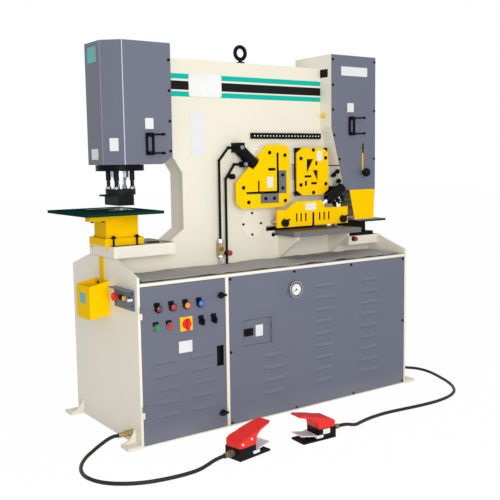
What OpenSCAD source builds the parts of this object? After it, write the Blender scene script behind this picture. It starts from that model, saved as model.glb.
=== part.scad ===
// Hydraulic ironworker: a punch at the left end, angle, bar and flat shears in the
// middle and a notcher at the right end, on a cabinet with the power pack inside.
// Origin: centre of the four anchor holes, on the floor. +X right, +Y back, +Z up.

/* [Cabinet] */
// Length of the cabinet over its side walls
cabinet_l = 1550; // [1480:5:1700]
// Depth of the cabinet, front to back
cabinet_d = 642; // [600:2:720]
// Height of the deck above the floor
deck_h = 683; // [640:1:740]
// Thickness of the side walls
side_t = 12; // [8:1:16]
// Height of the side walls' crown above the deck
side_rise = 83; // [70:1:100]
// Thickness of the sheet panels
sheet_t = 3; // [2:0.5:4]
// Width of the control door's bay
door_bay = 415; // [380:1:440]
// How far the anchor feet stand out from the side walls
foot_out = 64; // [50:1:80]
// Radius of the anchor holes
anchor_r = 9; // [6:0.5:12]

/* [Main frame] */
// Thickness of each frame plate
plate_t = 35; // [28:1:42]
// Gap between the two frame plates
plate_gap = 40; // [36:1:50]
// Height of the frame above the deck
frame_rise = 942; // [920:2:980]
// Distance of the throat's back edge from the left wall
throat_in = 382; // [370:1:400]
// Height of the throat's straight edge
throat_h = 253; // [240:1:262]

/* [Punch] */
// Distance of the punch axis from the left wall
punch_in = 100; // [95:1:105]
// Stroke of the punch ram
punch_stroke = 45; // [30:1:48]
// Radius of the ram
ram_r = 38; // [36:1:40]
// Radius of the punch tip
punch_r = 11; // [6:0.5:12]
// Height of the punch table above the deck
table_up = 285; // [281:1:290]
// Depth of the punch table, front to back
table_d = 425; // [380:1:560]
// Thickness of the punch table
table_t = 12; // [8:1:14]
// Depth of the punch cover, front to back
cover_d = 280; // [260:2:300]
// Height of the punch cover
cover_h = 513; // [500:1:530]

/* [Shears] */
// Place of the beam pivot to the right of the middle
pivot_x = -12; // [-20:1:0]
// Radius of the pivot pin
pin_r = 40; // [30:1:46]
// Stand-off of the shear guards from the frame
block_t = 42; // [34:1:50]
// Thickness of the guard plates
guard_t = 8; // [5:0.5:10]
// Width of the slot for angle bars
angle_slot = 12; // [8:0.5:14]
// Height of the slot for flat bars
flat_slot = 23; // [16:1:26]
// Depth of the flat-bar table
flat_table_d = 175; // [140:1:190]
// Thickness of the flat-bar table
flat_table_t = 23; // [14:1:26]
// Travel of the flat-bar clamp
clamp_travel = 15; // [8:1:17]

/* [Right end] */
// Width of the shear housing
housing_w = 300; // [292:1:320]
// Depth of the shear housing
housing_d = 284; // [276:2:310]
// Height of the shear housing above the deck
housing_rise = 1005; // [980:1:1030]
// Radius of the shear cylinder's rod
rod_r = 32; // [24:1:36]
// Length of the notch punch
notch_w = 66; // [60:1:70]

/* [Foot pedals] */
// Length of a pedal's base plate
pedal_l = 170; // [160:1:190]
// Width of a pedal
pedal_w = 86; // [76:1:100]
// Height of a pedal's body under its hood
pedal_h = 50; // [44:1:58]
// Diameter of the pedal cords
cord_d = 15; // [10:0.5:16]

/* [Hidden] */
$fn = 64;

// Shared fits and overrun
cut = 2;
seat = 0.3;
fit = 0.05;
door_gap = 1.5;

// Planes of the cabinet
left_x = -cabinet_l / 2;
right_x = cabinet_l / 2;
front_y = -cabinet_d / 2;
back_y = cabinet_d / 2;
left_in = left_x + side_t;
right_in = right_x - side_t;
deck_t = 10;
rail_h = 13;
rail_t = 12;
plinth_h = 5;
floor_up = 20;
floor_t = 8;
post_w = 16;
post_d = 25;
partition_t = 6;
bay_right = left_in + door_bay;
post_x = bay_right + post_w / 2;
panel_low = plinth_h + seat;
panel_high = deck_h - rail_h - seat;
panel_left = bay_right + post_w + seat;
panel_right = right_in - seat;
door_low = plinth_h + door_gap;
door_high = deck_h - rail_h - door_gap;

// Side walls and feet
shoulder_up = 25;
crown_half = 136;
foot_w = 70;
foot_t = 12;
foot_rib_h = 62;
foot_rib_t = 10;
foot_back = 7;
anchor_x = right_x + foot_out / 2;
anchor_y = back_y + foot_back - foot_w / 2;

// Louvres
louvre_w = 114;
louvre_h = 15;
louvre_out = 6;
louvre_t = 2;
louvre_low = 112;
louvre_top_gap = 82.7;
door_louvre_rows = 5;
panel_louvre_rows = 9;
short_louvre_rows = 4;
louvre_run = panel_high - louvre_top_gap - louvre_h - louvre_low;
louvre_pitch = louvre_run / (panel_louvre_rows - 1);
door_louvre_in = 60;
door_louvre_step = 176;
panel_louvre_a = 248;
panel_louvre_b = 548;
panel_louvre_c = 846;

// Frame plates
frame_half = plate_gap / 2 + plate_t;
frame_top = deck_h + frame_rise;
jaw_t = 51;
jaw_gap = 1;
jaw_bottom = deck_h + side_rise + jaw_gap;
jaw_top = jaw_bottom + jaw_t;
jaw_half = 122;
jaw_l = 299;
jaw_r = left_x + jaw_l;
jaw_dish_r = 44;
jaw_dish_t = 6;
jaw_dish_in = 232;
throat_x = left_x + throat_in;
throat_up = 49;
throat_low = jaw_top + throat_up;
throat_high = throat_low + throat_h;
throat_cut = 47;
throat_lip = 9;
bottom_spacer_in = 110;
bottom_spacer_right = 10;
throat_rise = 72;
arm_bottom = throat_high + throat_rise;
arm_in = 215;
arm_end = left_x + arm_in;
spacer_w = 40;
frame_in = 240;
frame_right = right_x - frame_in;
head_in = 75;
head_right = right_x - head_in;
head_h = 145;
head_bottom = frame_top - head_h;
notch_jaw_up = 44;
notch_jaw_bottom = deck_h + notch_jaw_up;
notch_jaw_t = 45;
notch_jaw_top = notch_jaw_bottom + notch_jaw_t;
notch_jaw_out = 13;
notch_jaw_l = 228;
notch_jaw_x = right_x + notch_jaw_out - notch_jaw_l;
notch_jaw_half = 120;

// Punch station
punch_x = left_x + punch_in;
table_top = deck_h + table_up;
table_low = table_top - table_t;
table_out = 165;
table_left = left_x - table_out;
table_in = 186;
table_right = left_x + table_in;
table_corner_r = 8;
table_front = 235;
table_back = table_d - table_front;
die_half_x = 65;
die_half_y = 55;
die_gap = 7;
die_ring_r = 30;
die_ring_h = 8;
die_rise = 4;
die_top = table_top + die_rise;
die_play = 1;
bolster_drop = 8;
bolster_top = table_low - bolster_drop;
bolster_in = 73;
bolster_x = left_x + bolster_in;
bolster_half_x = 76;
bolster_half_y = 60;
bolster_flange_x = 92;
bolster_flange_y = 80;
bolster_flange_h = 32;
bolster_arm_w = 40;
bolster_arm_h = 28;
bolster_arm_l = 170;
bolster_back_arm_l = 88;
slug_hole_r = 18;
strip_gap = 14;
strip_low = die_top + strip_gap;
strip_floor = 20;
strip_half_x = 37;
strip_half_y = 69;
strip_back = 16;
strip_block_h = 46;
strip_ring_r = 65;
strip_ring_t = 25;
strip_top = strip_low + strip_block_h + strip_ring_t;
strip_hole_r = 29;
strip_play = 3;
strip_tab_l = 26;
strip_tab_w = 35;
strip_tab_t = 8;
post_ring_r = 54;
strip_post_r = 8;
strip_sleeve_r = 11;
flange_r = 104;
flange_t = 26;
flange_up = 78;
flange_low = strip_top + flange_up;
cyl_low = flange_low + flange_t;
sleeve_l = 40;
sleeve_low = flange_low - sleeve_l;
barrel_r = 90;
barrel_h = 400;
bore_h = 380;
nut_r = 26;
nut_h = 32;
holder_r = 18;
holder_h = 18;
ram_rest = 5;
ram_low = strip_top + ram_rest + punch_stroke;
ram_l = 370;
tip_up = 4;

// Punch cover
cover_gap = 1;
cover_low = cyl_low + cover_gap;
cover_out = 13;
cover_left = left_x - cover_out;
cover_in = 285;
cover_right = left_x + cover_in;
cover_flat = 146;
cover_chamfer_x = 70;
cover_foot_cut_x = 50;
cover_foot_cut_z = 33;

// Stroke stop rails on both covers
stop_bar_w = 8;
stop_bar_t = 10;
stop_bar_h = 94;
stop_bar_step = 30;
stop_block_h = 16;
stop_block_t = 20;
stop_arm_r = 4;
stop_arm_l = 62;
stop_arm_turn = -50;
stop_knob_r = 6;
stop_knob_l = 14;
punch_stop_in = 155;
punch_stop_x = left_x + punch_stop_in;
punch_stop_up = 39;
punch_stop_low = cover_low + punch_stop_up;
shear_stop_in = 237;
shear_stop_x = right_x - shear_stop_in;
shear_stop_up = 608;
shear_stop_low = deck_h + shear_stop_up;

// Pivot and beam
pivot_up = 185;
pivot_z = deck_h + pivot_up;
pivot_disc_r = 66;
pivot_disc_t = 3;
beam_play = 1;
beam_half = plate_gap / 2 - beam_play;
boss_r = 75;
shear_in = 175;
shear_x = right_x - shear_in;
roller_r = 30;
roller_up = 417;
roller_z = deck_h + roller_up;
beam_nose_in = 80;
beam_nose = right_x - beam_nose_in;
beam_up = 328;
beam_low = deck_h + beam_up;
beam_top_left = -112;
beam_top_w = 752;
beam_top_up = 185;
beam_top_h = 360;
beam_top_shares = [[1, 0.658], [0.81, 0.7], [0.7, 1], [0.176, 1], [0, 0.645], [0, 0.32], [0.033, 0]];
beam_nose_h = 64;
beam_neck = 25;
blade_front = 25;

// Angle shear: the corner where the two legs of the slot meet
angle_x = 117;
angle_up = 329;
angle_z = deck_h + angle_up;
angle_leg_l = 193;
angle_leg_h = 196;
angle_ease = 2;
angle_blade_w = 28;
angle_blade_ease = 4;
angle_fixed_w = 45;
angle_fixed_l = 110;
angle_fixed_t = 24;
angle_fixed_out = 2;
angle_rear_ease = 16;
angle_guard_left = -134;
angle_guard_w = 319;
angle_guard_up = 261;
angle_guard_h = 301;
angle_guard_shares = [[0.558, 0.9967], [0.9122, 1], [0.9969, 0.9302], [1, 0.0797],
  [0.8401, 0], [0.0878, 0.0066], [0, 0.0963], [0, 0.4186],
  [0.2414, 0.6578], [0.3135, 0.6047], [0.4357, 0.7641], [0.3856, 0.8106]];
angle_left_share = 0.1;
angle_block_out = -30;
angle_win = 25;
angle_short_slot_x = -2;
angle_short_slot_h = 52;
angle_oval_x = 76;
angle_oval_up = 445;
angle_oval_z = deck_h + angle_oval_up;
angle_oval_r = 7;
angle_oval_l = 32;

// Hold-down of the angle shear, along a slope
hold_a_x = -105;
hold_a_up = 549;
hold_a_z = deck_h + hold_a_up;
hold_a_turn = 130.9;
hold_a_l = 120;
hold_a_r = 27;
hold_a_out = 28;
hold_rod_r = 10;
hold_rod_play = 0.6;
hold_rod_in = 50;
hold_rod_out = 42;
hold_channel_l = 280;
hold_port_w = 40;
hold_port_h = 45;
hold_port2_w = 28;
hold_port2_x = -76;
hold_port2_up = 471;
hold_port2_z = deck_h + hold_port2_up;

// Bar shear
bar_left = 230;
bar_right = 434;
bar_low_up = 312;
bar_low = deck_h + bar_low_up;
bar_top_up = 547;
bar_top = deck_h + bar_top_up;
bar_corner_x = 37;
bar_corner_z = 26;
bar_tri_x = 293;
bar_tri_up = 491;
bar_tri_z = deck_h + bar_tri_up;
bar_tri_w = 44;
bar_tri_h = 74;
bar_tri2_x = 365;
bar_tri2_up = 436;
bar_tri2_z = deck_h + bar_tri2_up;
bar_tri2_w = 34;
bar_tri2_h = 58;
bar_win_edge = 12;
bar_blade_edge = 6;
chute_out = 70;
chute_t = 3;
chute_left = -90;
chute_mid = 400;
chute_right = 528;
chute_low_up = 117;
chute_low = deck_h + chute_low_up;
chute_step_up = 322;
chute_step = deck_h + chute_step_up;
chute_top_up = 542;
chute_top = deck_h + chute_top_up;
bar_plate_t = 14;
bar_post_w = 40;
bar_post_h = 60;
bar_post_in = 8;
bar_post_up = 18;

// Flat shear
flat_left = 80;
flat_right = 520;
flat_up = 144;
flat_z = deck_h + flat_up;
flat_rake_share = 0.073;
flat_open = 9;
flat_blade_h = 40;
flat_low_blade_h = 50;
flat_slot_end = 6;
flat_drop = 57;
flat_table_left = 128;
flat_table_right = 545;
flat_table_corner = 22;
gusset_t = 10;
gusset_left = 152;
gusset_right = 476;
gusset_in = 20;
gusset_nose = 16;

// Flat-bar clamp and its knobs
clamp_out = 83;
clamp_t = 12;
clamp_up = 21;
clamp_low = flat_z + clamp_up;
clamp_left = 73;
clamp_right = 525;
clamp_shoulder = 84;
clamp_top = 122;
clamp_ramp_x = 131;
clamp_top_x = 191;
clamp_top_end = 350;
clamp_face_w = 22;
clamp_mid_w = 14;
clamp_mid_share = 0.492;
clamp_slot_w = 9;
clamp_slot_h = 40;
clamp_slot_up = 24;
clamp_slot_shares = [0.26, 0.322, 0.386, 0.584, 0.65, 0.717];
knob_up = 22;
knob_left_x = 112;
knob_right_x = 487;
stud_r = 6;
stud_deep = 20;
stud_collar_r = 12;
knob_r = 18;
knob_t = 18;
knob_arm_l = 34;
knob_arm_r = 4;
knob_arm_turn = 60;

// Hold-down of the flat shear
hold_b_out = clamp_out + clamp_t / 2;
hold_b_r = 26;
hold_b_start = 40;
hold_b_l = 111;
hold_b_rod_r = 9;
hold_b_rod_in = 40;
hold_b_foot_w = 45;
hold_b_foot_h = 40;
hold_b_foot_x = 445;
hold_b_foot_up = 312;
hold_b_foot_z = deck_h + hold_b_foot_up;

// Shear housing, its cover, cylinder and stroke knob
housing_in = 350;
housing_left = right_x - housing_in;
housing_right = housing_left + housing_w;
housing_half = housing_d / 2;
housing_top = deck_h + housing_rise;
housing_up = 331;
housing_low = deck_h + housing_up;
housing_knee_up = 650;
housing_knee = deck_h + housing_knee_up;
housing_foot = 88;
housing_t = 4;
shear_cyl_r = 60;
shear_cyl_up = 507;
shear_cyl_low = deck_h + shear_cyl_up;
shear_cyl_h = 260;
shear_bore_h = 240;
lug_half = 25;
lug_pin_r = 15;
lug_drop = 95;
lug_z = frame_top - lug_drop;
lug_top_drop = 60;
lug_top = frame_top - lug_top_drop;
shear_rod_l = 270;
pad_half = 45;
pad_h = 19;
pad_gap = 1;
knob_slot_in = 136;
knob_slot_x = right_x - knob_slot_in;
knob_slot_w = 12;
knob_slot_up = 412;
knob_slot_low = deck_h + knob_slot_up;
knob_slot_h = 155;
ball_r = 22;
ball_out = 26;
knob_stem_r = 5;
pointer_h = 100;
pointer_t = 3;
pointer_w = 30;

// Notcher
notch_in = 115;
notch_x = right_x - notch_in;
notch_play = 8;
notch_up = 185;
notch_low = deck_h + notch_up;
notch_side = 1;
notch_die_up = 162;
notch_die_top = deck_h + notch_die_up;
notch_table_t = 8;
notch_table_out = 62;
notch_table_right = right_x + notch_table_out;
notch_table_half = 140;
notch_base_half = 100;
notch_base_h = 18;
notch_die_half = 52;
notch_die_wall = 7;
notch_die_in = 32;
notch_base_in = 21;
notch_table_corner = 30;
notch_guard_up = 178;
notch_guard_low = deck_h + notch_guard_up;
notch_guard_in = 36;
notch_guard_far = 229;
notch_guard_left = right_x - notch_guard_far;
notch_guard_near = 52;
notch_guard_right = right_x - notch_guard_near;
notch_guard_taper = 8;

// Lamp bar, eye bolt and tubes
lamp_left = -14;
lamp_in = 356;
lamp_right = right_x - lamp_in;
lamp_up = 591;
lamp_low = deck_h + lamp_up;
lamp_h = 28;
lamp_t = 12;
eye_x = -27;
eye_ring_r = 29;
eye_wire_r = 9;
eye_collar_r = 20;
eye_collar_h = 12;
eye_rise = 54;
tube_r = 6;
tube_elbow_r = 7.5;
tube_out = 24;
tube_a_x = -210;
tube_a_up = 490;
tube_a_bend = deck_h + tube_a_up;
tube_a_x2 = -158;
tube_b_x = -175;
tube_b_up = 404;
tube_b_bend = deck_h + tube_b_up;
tube_b_x2 = -126;
tube_nut_r = 12;
tube_nut_h = 28;
tube_nut_up = 92;
tee_w = 26;
tee_d = 22;
tee_h = 60;
tee_up = 50;
tee_cap_r = 13;
tee_cap_l = 8;

// Control door
door_left = left_in + door_gap;
door_right = bay_right - door_gap;
door_flange = 18;
lamp_r = 16;
lamp_out = 14;
door_h = door_high - door_low;
lamp_drop = 96;
lamp_rows_up = door_h - lamp_drop;
lamp_first = 78.5;
lamp_step = 67.3;
button_drop = 175;
button_up = door_h - button_drop;
start_in = 71.5;
stop_in = 132.5;
switch_in = 211.5;
selector_a_in = 287.5;
selector_b_in = 350.5;
button_r = 11;
bezel_r = 16;
bezel_out = 6;
button_out = 12;
button_deep = 14;
button_play = 0.3;
switch_plate_w = 60;
switch_plate_h = 60;
switch_plate_t = 4;
switch_r = 20;
switch_bar_w = 12;
switch_bar_l = 48;
switch_bar_t = 14;
switch_base_t = 8;
shaft_r = 6;
shaft_deep = 12;
selector_r = 14;
selector_t = 10;
selector_grip_w = 8;
selector_grip_t = 12;
latch_in = 388.5;
latch_drop = 73;
latch_top_up = door_h - latch_drop;
latch_low_up = 65;
latch_r = 14;
latch_t = 9;
latch_wing_w = 10;
latch_wing_l = 44;
latch_wing_t = 8;
handle_in = 381.5;
handle_w = 36;
handle_h = 90;
handle_drop = 384;
handle_up = door_h - handle_drop;
handle_deep = 18;
handle_wall = 2;
hinge_r = 5;
hinge_pin_r = 2.5;
hinge_h = 26;
hinge_out = 4;
hinge_leaf_w = 9;
hinge_gap = 0.5;
hinge_off = 5.6;
hinge_low_up = 117;
hinge_drop = 131;
hinge_high_up = door_h - hinge_drop;

// Front panel: hatch and gauge
hatch_in = 76;
hatch_w = 156;
hatch_h = 113;
hatch_gap = 51.8;
hatch_z = louvre_low + (short_louvre_rows - 1) * louvre_pitch + louvre_h + hatch_gap;
hatch_latch_r = 12;
hatch_latch_t = 8;
hatch_latch_in = 30;
gauge_in = 364;
gauge_drop = 91.4;
gauge_z = panel_high - gauge_drop;
gauge_r = 38;
gauge_out = 20;
gauge_rim = 5;
gauge_rim_t = 4;
gauge_body_r = 20;
gauge_deep = 30;

// Side control box
side_box_front = 22;
side_box_w = 175;
side_box_up = 113;
side_box_h = 85;
side_box_t = 6;
side_hood_out = 30;
side_hood_t = 3;
side_button_up = 46;
side_button_r = 10;
side_button_out = 12;
side_button_a = 34;
side_button_b = 70;
side_button_c = 101;
side_toggle_in = 12;
side_toggle_r = 6;
side_toggle_l = 20;
stop_in_side = 136;
mushroom_r = 17;
mushroom_t = 12;
mushroom_stem_r = 8;
mushroom_up = 14;
mushroom_deep = 16;
stop_y = front_y + side_box_front + stop_in_side;
stop_z = deck_h - side_box_up + side_button_up;

// Slug bin
bin_t = 3;
bin_out = 92;
bin_front = 63;
bin_back = 74;
bin_drop_from = 165;
bin_low = deck_h - bin_drop_from;
bin_drop = 12;
bin_mouth = 143;
bin_back_h = 150;
strap_half = 22;
strap_h = 247;

// Power pack in the right bay
tank_left = -280;
tank_right = 320;
tank_front = 120;
tank_back = 270;
tank_h = 272;
motor_x = 150;
motor_y = 80;
motor_r = 85;
motor_gap = 101;
motor_fins = 12;
motor_fin_l = 8;
motor_fin_w = 6;
pump_r = 100;
pump_h = 22;
motor_h = deck_h - deck_t - motor_gap - floor_up - floor_t - tank_h - pump_h;
valve_x = -180;
valve_w = 130;
valve_d = 120;
valve_h = 150;

// Foot pedals: heel places on the floor, and turns
pedal_a_x = -544;
pedal_a_y = -648;
pedal_a_at = [pedal_a_x, pedal_a_y, 0];
pedal_a_turn = 9.5;
pedal_b_x = -52;
pedal_b_y = -664;
pedal_b_at = [pedal_b_x, pedal_b_y, 0];
pedal_b_turn = 177;
pedal_base_t = 8;
pedal_body_l = 88;
pedal_corner = 6;
hood_shares = [[0, 0], [0.4889, 0], [0.5333, 0.1889], [0.6667, 0.2667], [1, 0.35],
  [1, 0.4], [0.6667, 0.3278], [0.3333, 0.2389], [0.1222, 0.2], [0, 0.1222]];
hood_tip_h = 72;
hood_tip_x = 180;
hood_tip_w = 62;
treadle_pivot_x = 75;
treadle_pivot_z = 20;
treadle_pin_r = 4;
treadle_start = 93;
treadle_end = 175;
treadle_half = 35;
treadle_heel_z = 22;
treadle_toe_z = 36;
treadle_t = 4;
treadle_arm_t = 4;
treadle_arm_h = 12;

// Cord glands and cord routes, hand-chosen points on the floor
gland_nut_r = 14;
gland_nut_l = 22;
gland_r = 11;
gland_l = 65;
gland_pedal_l = 45;
gland_pedal_z = 27;
gland_up = 46;
gland_a_y = -239;
gland_b_y = -97;
cord_sides = 10;
cord_lead = 25;
route_unit = 1;
cord_left_route = [[-890, -239, 39], [-914, -239, 28], [-938, -241, 17], [-964, -253, 9.5],
  [-996, -280, 8], [-1027, -315, 8], [-1053, -352, 8], [-1071, -387, 8], [-1083, -424, 8],
  [-1088, -462, 8], [-1083, -502, 8], [-1069, -541, 8], [-1045, -577, 8], [-1015, -606, 8],
  [-977, -632, 8], [-929, -654, 8], [-875, -668, 8], [-815, -676, 8], [-760, -677, 8],
  [-712, -674, 10], [-672, -668, 17], [-642, -664, 24]];
cord_right_route = [[46, -669, 24], [74, -667, 16], [105, -661, 9], [150, -649, 8], [205, -637, 8],
  [260, -631, 8], [320, -629, 8], [380, -633, 8], [440, -640, 8], [500, -647, 8], [560, -652, 8],
  [620, -654, 8], [680, -650, 8], [740, -639, 8], [795, -619, 8], [845, -588, 8], [885, -548, 8],
  [920, -500, 8], [948, -448, 8], [972, -392, 8], [994, -335, 8], [1010, -280, 8],
  [1016, -228, 8], [1008, -180, 8], [984, -142, 8], [950, -117, 13], [920, -104, 26],
  [893, -98, 40]];

// Helpers: blocks between two corners, plates on three planes, round bars
module block(x0, x1, y0, y1, z0, z1) {
  translate([x0, y0, z0]) cube([x1 - x0, y1 - y0, z1 - z0]);
}
module plate_xz(y0, y1) {
  translate([0, y1, 0]) rotate([90, 0, 0]) linear_extrude(y1 - y0) children();
}
module plate_yz(x0, x1) {
  translate([x0, 0, 0]) rotate([90, 0, 90]) linear_extrude(x1 - x0) children();
}
module bar_x(y, z, r, x0, x1) {
  translate([x0, y, z]) rotate([0, 90, 0]) cylinder(h = x1 - x0, r = r);
}
module bar_y(x, z, r, y0, y1) {
  translate([x, y1, z]) rotate([90, 0, 0]) cylinder(h = y1 - y0, r = r);
}
module bar_z(x, y, r, z0, z1) {
  translate([x, y, z0]) cylinder(h = z1 - z0, r = r);
}
module slanted(x, y, z, turn, r, from, to) {
  translate([x, y, z]) rotate([0, turn, 0]) translate([0, 0, from]) cylinder(h = to - from, r = r);
}
module rect(x0, x1, z0, z1) {
  translate([x0, z0]) square([x1 - x0, z1 - z0]);
}

// Louvres on a front sheet: a pressed hood, open below, with its slot
module louvre_hood(x, z) {
  plate_yz(x, x + louvre_w)
    polygon([[front_y, z], [front_y - louvre_out, z], [front_y, z + louvre_h]]);
}
module louvre_slot(x, z) {
  plate_yz(x + louvre_t, x + louvre_w - louvre_t)
    polygon([[front_y + sheet_t + cut, z - cut], [front_y - louvre_out + louvre_t, z - cut],
      [front_y - louvre_out + louvre_t, z], [front_y, z + louvre_h - louvre_t],
      [front_y + sheet_t + cut, z + louvre_h - louvre_t]]);
}
module louvred(columns, rows) {
  difference() {
    union() {
      children();
      for (c = [0 : len(columns) - 1], i = [0 : rows[c] - 1])
        louvre_hood(columns[c], louvre_low + i * louvre_pitch);
    }
    for (c = [0 : len(columns) - 1], i = [0 : rows[c] - 1])
      louvre_slot(columns[c], louvre_low + i * louvre_pitch);
  }
}

// Cabinet
module side_wall() {
  plate_yz(left_x, left_in)
    polygon([[front_y, 0], [back_y, 0], [back_y, deck_h + shoulder_up],
      [crown_half, deck_h + side_rise], [-crown_half, deck_h + side_rise],
      [front_y, deck_h + shoulder_up]]);
  for (m = [0, 1]) mirror([0, m, 0]) anchor_foot();
}
module anchor_foot() {
  far = front_y - foot_back;
  difference() {
    block(left_x - foot_out, left_x, far, far + foot_w, 0, foot_t);
    bar_z(-anchor_x, -anchor_y, anchor_r, -cut, foot_t + cut);
  }
  difference() {
    block(left_x - foot_out, left_x, far + foot_w - foot_rib_t, far + foot_w, 0, foot_rib_h);
    bar_y(left_x - foot_out, foot_rib_h + foot_t, foot_rib_h - cut, far, far + foot_w + cut);
  }
}
module side_panels() {
  color("Beige") {
    difference() {
      side_wall();
      bar_x(gland_a_y, gland_up, gland_r, left_x - cut, left_in + cut);
      bar_x(stop_y, stop_z, mushroom_stem_r + button_play, left_x - cut, left_in + cut);
    }
    mirror([1, 0, 0]) difference() {
      side_wall();
      bar_x(gland_b_y, gland_up, gland_r, left_x - cut, left_in + cut);
      block(left_x - cut, left_in + cut, -notch_jaw_half - seat, notch_jaw_half + seat,
        notch_jaw_bottom, deck_h + side_rise + cut);
    }
    for (up = [hinge_low_up, hinge_high_up]) door_hinge_fixed(door_low + up);
  }
}
module door_hinge_fixed(z) {
  bar_z(left_in, front_y - hinge_off, hinge_r, z, z + hinge_h);
  block(left_x, left_in, front_y - hinge_out, front_y, z, z + hinge_h);
  bar_z(left_in, front_y - hinge_off, hinge_pin_r, z + hinge_h, z + 2 * hinge_h);
}
module cabinet_floor() {
  color("Gainsboro") {
    block(left_in, right_in, front_y + post_d, back_y - post_d, floor_up, floor_up + floor_t);
    block(left_in, right_in, front_y, front_y + post_d, 0, plinth_h);
    block(left_in, right_in, front_y + post_d, front_y + 2 * post_d, 0, floor_up);
    block(left_in, right_in, back_y - post_d, back_y, 0, plinth_h);
    block(left_in, right_in, back_y - 2 * post_d, back_y - post_d, 0, floor_up);
    block(post_x - partition_t / 2, post_x + partition_t / 2, front_y + post_d,
      back_y - post_d, floor_up + floor_t, deck_h - deck_t);
    block(bay_right, bay_right + post_w, front_y, front_y + post_d, plinth_h, deck_h - rail_h);
    block(post_x - partition_t / 2, post_x + partition_t / 2, front_y + rail_t,
      front_y + post_d, deck_h - rail_h, deck_h - deck_t);
  }
}
module deck_plate() {
  color("Gray") {
    block(left_in, right_in, front_y, back_y, deck_h - deck_t, deck_h);
    block(left_in, right_in, front_y, front_y + rail_t, deck_h - rail_h, deck_h - deck_t);
    block(left_in, right_in, back_y - rail_t, back_y, deck_h - rail_h, deck_h - deck_t);
  }
}
module front_panel() {
  hatch_x = panel_left + hatch_in;
  columns = [panel_left + panel_louvre_a - louvre_w / 2, panel_left + panel_louvre_b - louvre_w / 2,
    panel_left + panel_louvre_c - louvre_w / 2];
  color("SlateGray") difference() {
    louvred(columns, [short_louvre_rows, panel_louvre_rows, panel_louvre_rows]) {
      block(panel_left, panel_right, front_y, front_y + sheet_t, panel_low, panel_high);
      for (x = [panel_left, panel_right - sheet_t])
        block(x, x + sheet_t, front_y, front_y + post_d, panel_low, panel_high);
    }
    block(hatch_x - door_gap, hatch_x + hatch_w + door_gap, front_y - cut, front_y + sheet_t + cut,
      hatch_z - door_gap, hatch_z + hatch_h + door_gap);
    bar_y(panel_left + gauge_in, gauge_z, gauge_body_r + fit, front_y - cut,
      front_y + sheet_t + cut);
  }
  color("SlateGray") hatch_hinge_fixed(hatch_x + hatch_w + door_gap, hatch_z);
}
module hatch_hinge_fixed(x, z) {
  for (up = [0, hatch_h - 2 * hinge_h]) {
    block(x, x + hinge_leaf_w, front_y - hinge_out, front_y, z + up, z + up + hinge_h);
    bar_z(x, front_y - hinge_off, hinge_r, z + up, z + up + hinge_h);
    bar_z(x, front_y - hinge_off, hinge_pin_r, z + up + hinge_h, z + up + 2 * hinge_h);
  }
}
module hatch() {
  x = panel_left + hatch_in;
  z = hatch_z;
  hinge_x = x + hatch_w + door_gap;
  color("SlateGray") {
    block(x, x + hatch_w, front_y, front_y + sheet_t, z, z + hatch_h);
    bar_y(x + hatch_latch_in, z + hatch_h / 2, hatch_latch_r, front_y - hatch_latch_t, front_y);
    for (up = [0, hatch_h - 2 * hinge_h]) {
      low = z + up + hinge_h + hinge_gap;
      high = z + up + 2 * hinge_h;
      block(hinge_x - hinge_leaf_w - hinge_r, hinge_x - hinge_pin_r - cut / 2,
        front_y - hinge_out, front_y, low, high);
      difference() {
        bar_z(hinge_x, front_y - hinge_off, hinge_r, low, high);
        bar_z(hinge_x, front_y - hinge_off, hinge_pin_r + fit, low - cut, high + cut);
      }
    }
  }
}
module rear_panel() {
  columns = [-panel_louvre_b, panel_louvre_b - louvre_w];
  color("SlateGray") rotate([0, 0, 180])
    louvred(columns, [panel_louvre_rows, panel_louvre_rows])
      block(-panel_right, panel_right, front_y, front_y + sheet_t, panel_low, panel_high);
}

// Main frame: two plates with the stations' windows, and the spacers between them
module angle_legs(ease) {
  rect(angle_x - angle_leg_l - ease, angle_x + ease, angle_z - ease, angle_z + angle_slot + ease);
  rect(angle_x - angle_slot - ease, angle_x + ease, angle_z - ease, angle_z + angle_leg_h + ease);
}
module angle_window(ease) {
  x0 = angle_x - angle_leg_l - ease;
  x1 = angle_x + ease;
  z0 = angle_z - ease;
  z1 = angle_z + angle_leg_h + ease;
  w = angle_slot + angle_win + ease;
  polygon([[x0, z0], [x1, z0], [x1, z1], [angle_x - w, z1], [x0, angle_z + w]]);
}
module bar_window(edge) {
  rect(bar_tri_x - bar_win_edge - edge, bar_tri2_x + bar_win_edge + edge,
    bar_tri2_z - bar_tri2_h - bar_win_edge - edge, bar_tri_z + bar_win_edge + edge);
}
module bar_triangles() {
  polygon([[bar_tri_x, bar_tri_z], [bar_tri_x + bar_tri_w, bar_tri_z], [bar_tri_x,
    bar_tri_z - bar_tri_h]]);
  polygon([[bar_tri2_x, bar_tri2_z], [bar_tri2_x - bar_tri2_w, bar_tri2_z],
    [bar_tri2_x, bar_tri2_z - bar_tri2_h]]);
}
module frame_outline() {
  polygon([[left_in, deck_h], [left_in, jaw_bottom], [jaw_r, jaw_bottom], [jaw_r, jaw_top - throat_lip],
    [throat_x, throat_low], [throat_x, throat_high], [throat_x - throat_cut, arm_bottom],
    [arm_end, arm_bottom], [arm_end, frame_top], [head_right, frame_top],
    [head_right, head_bottom], [frame_right, head_bottom], [frame_right, notch_jaw_bottom],
    [right_in, notch_jaw_bottom], [right_in, deck_h]]);
}
module frame_bores() {
  translate([pivot_x, pivot_z]) circle(r = pin_r + fit);
  translate([shear_x, lug_z]) circle(r = lug_pin_r + fit);
}
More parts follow.
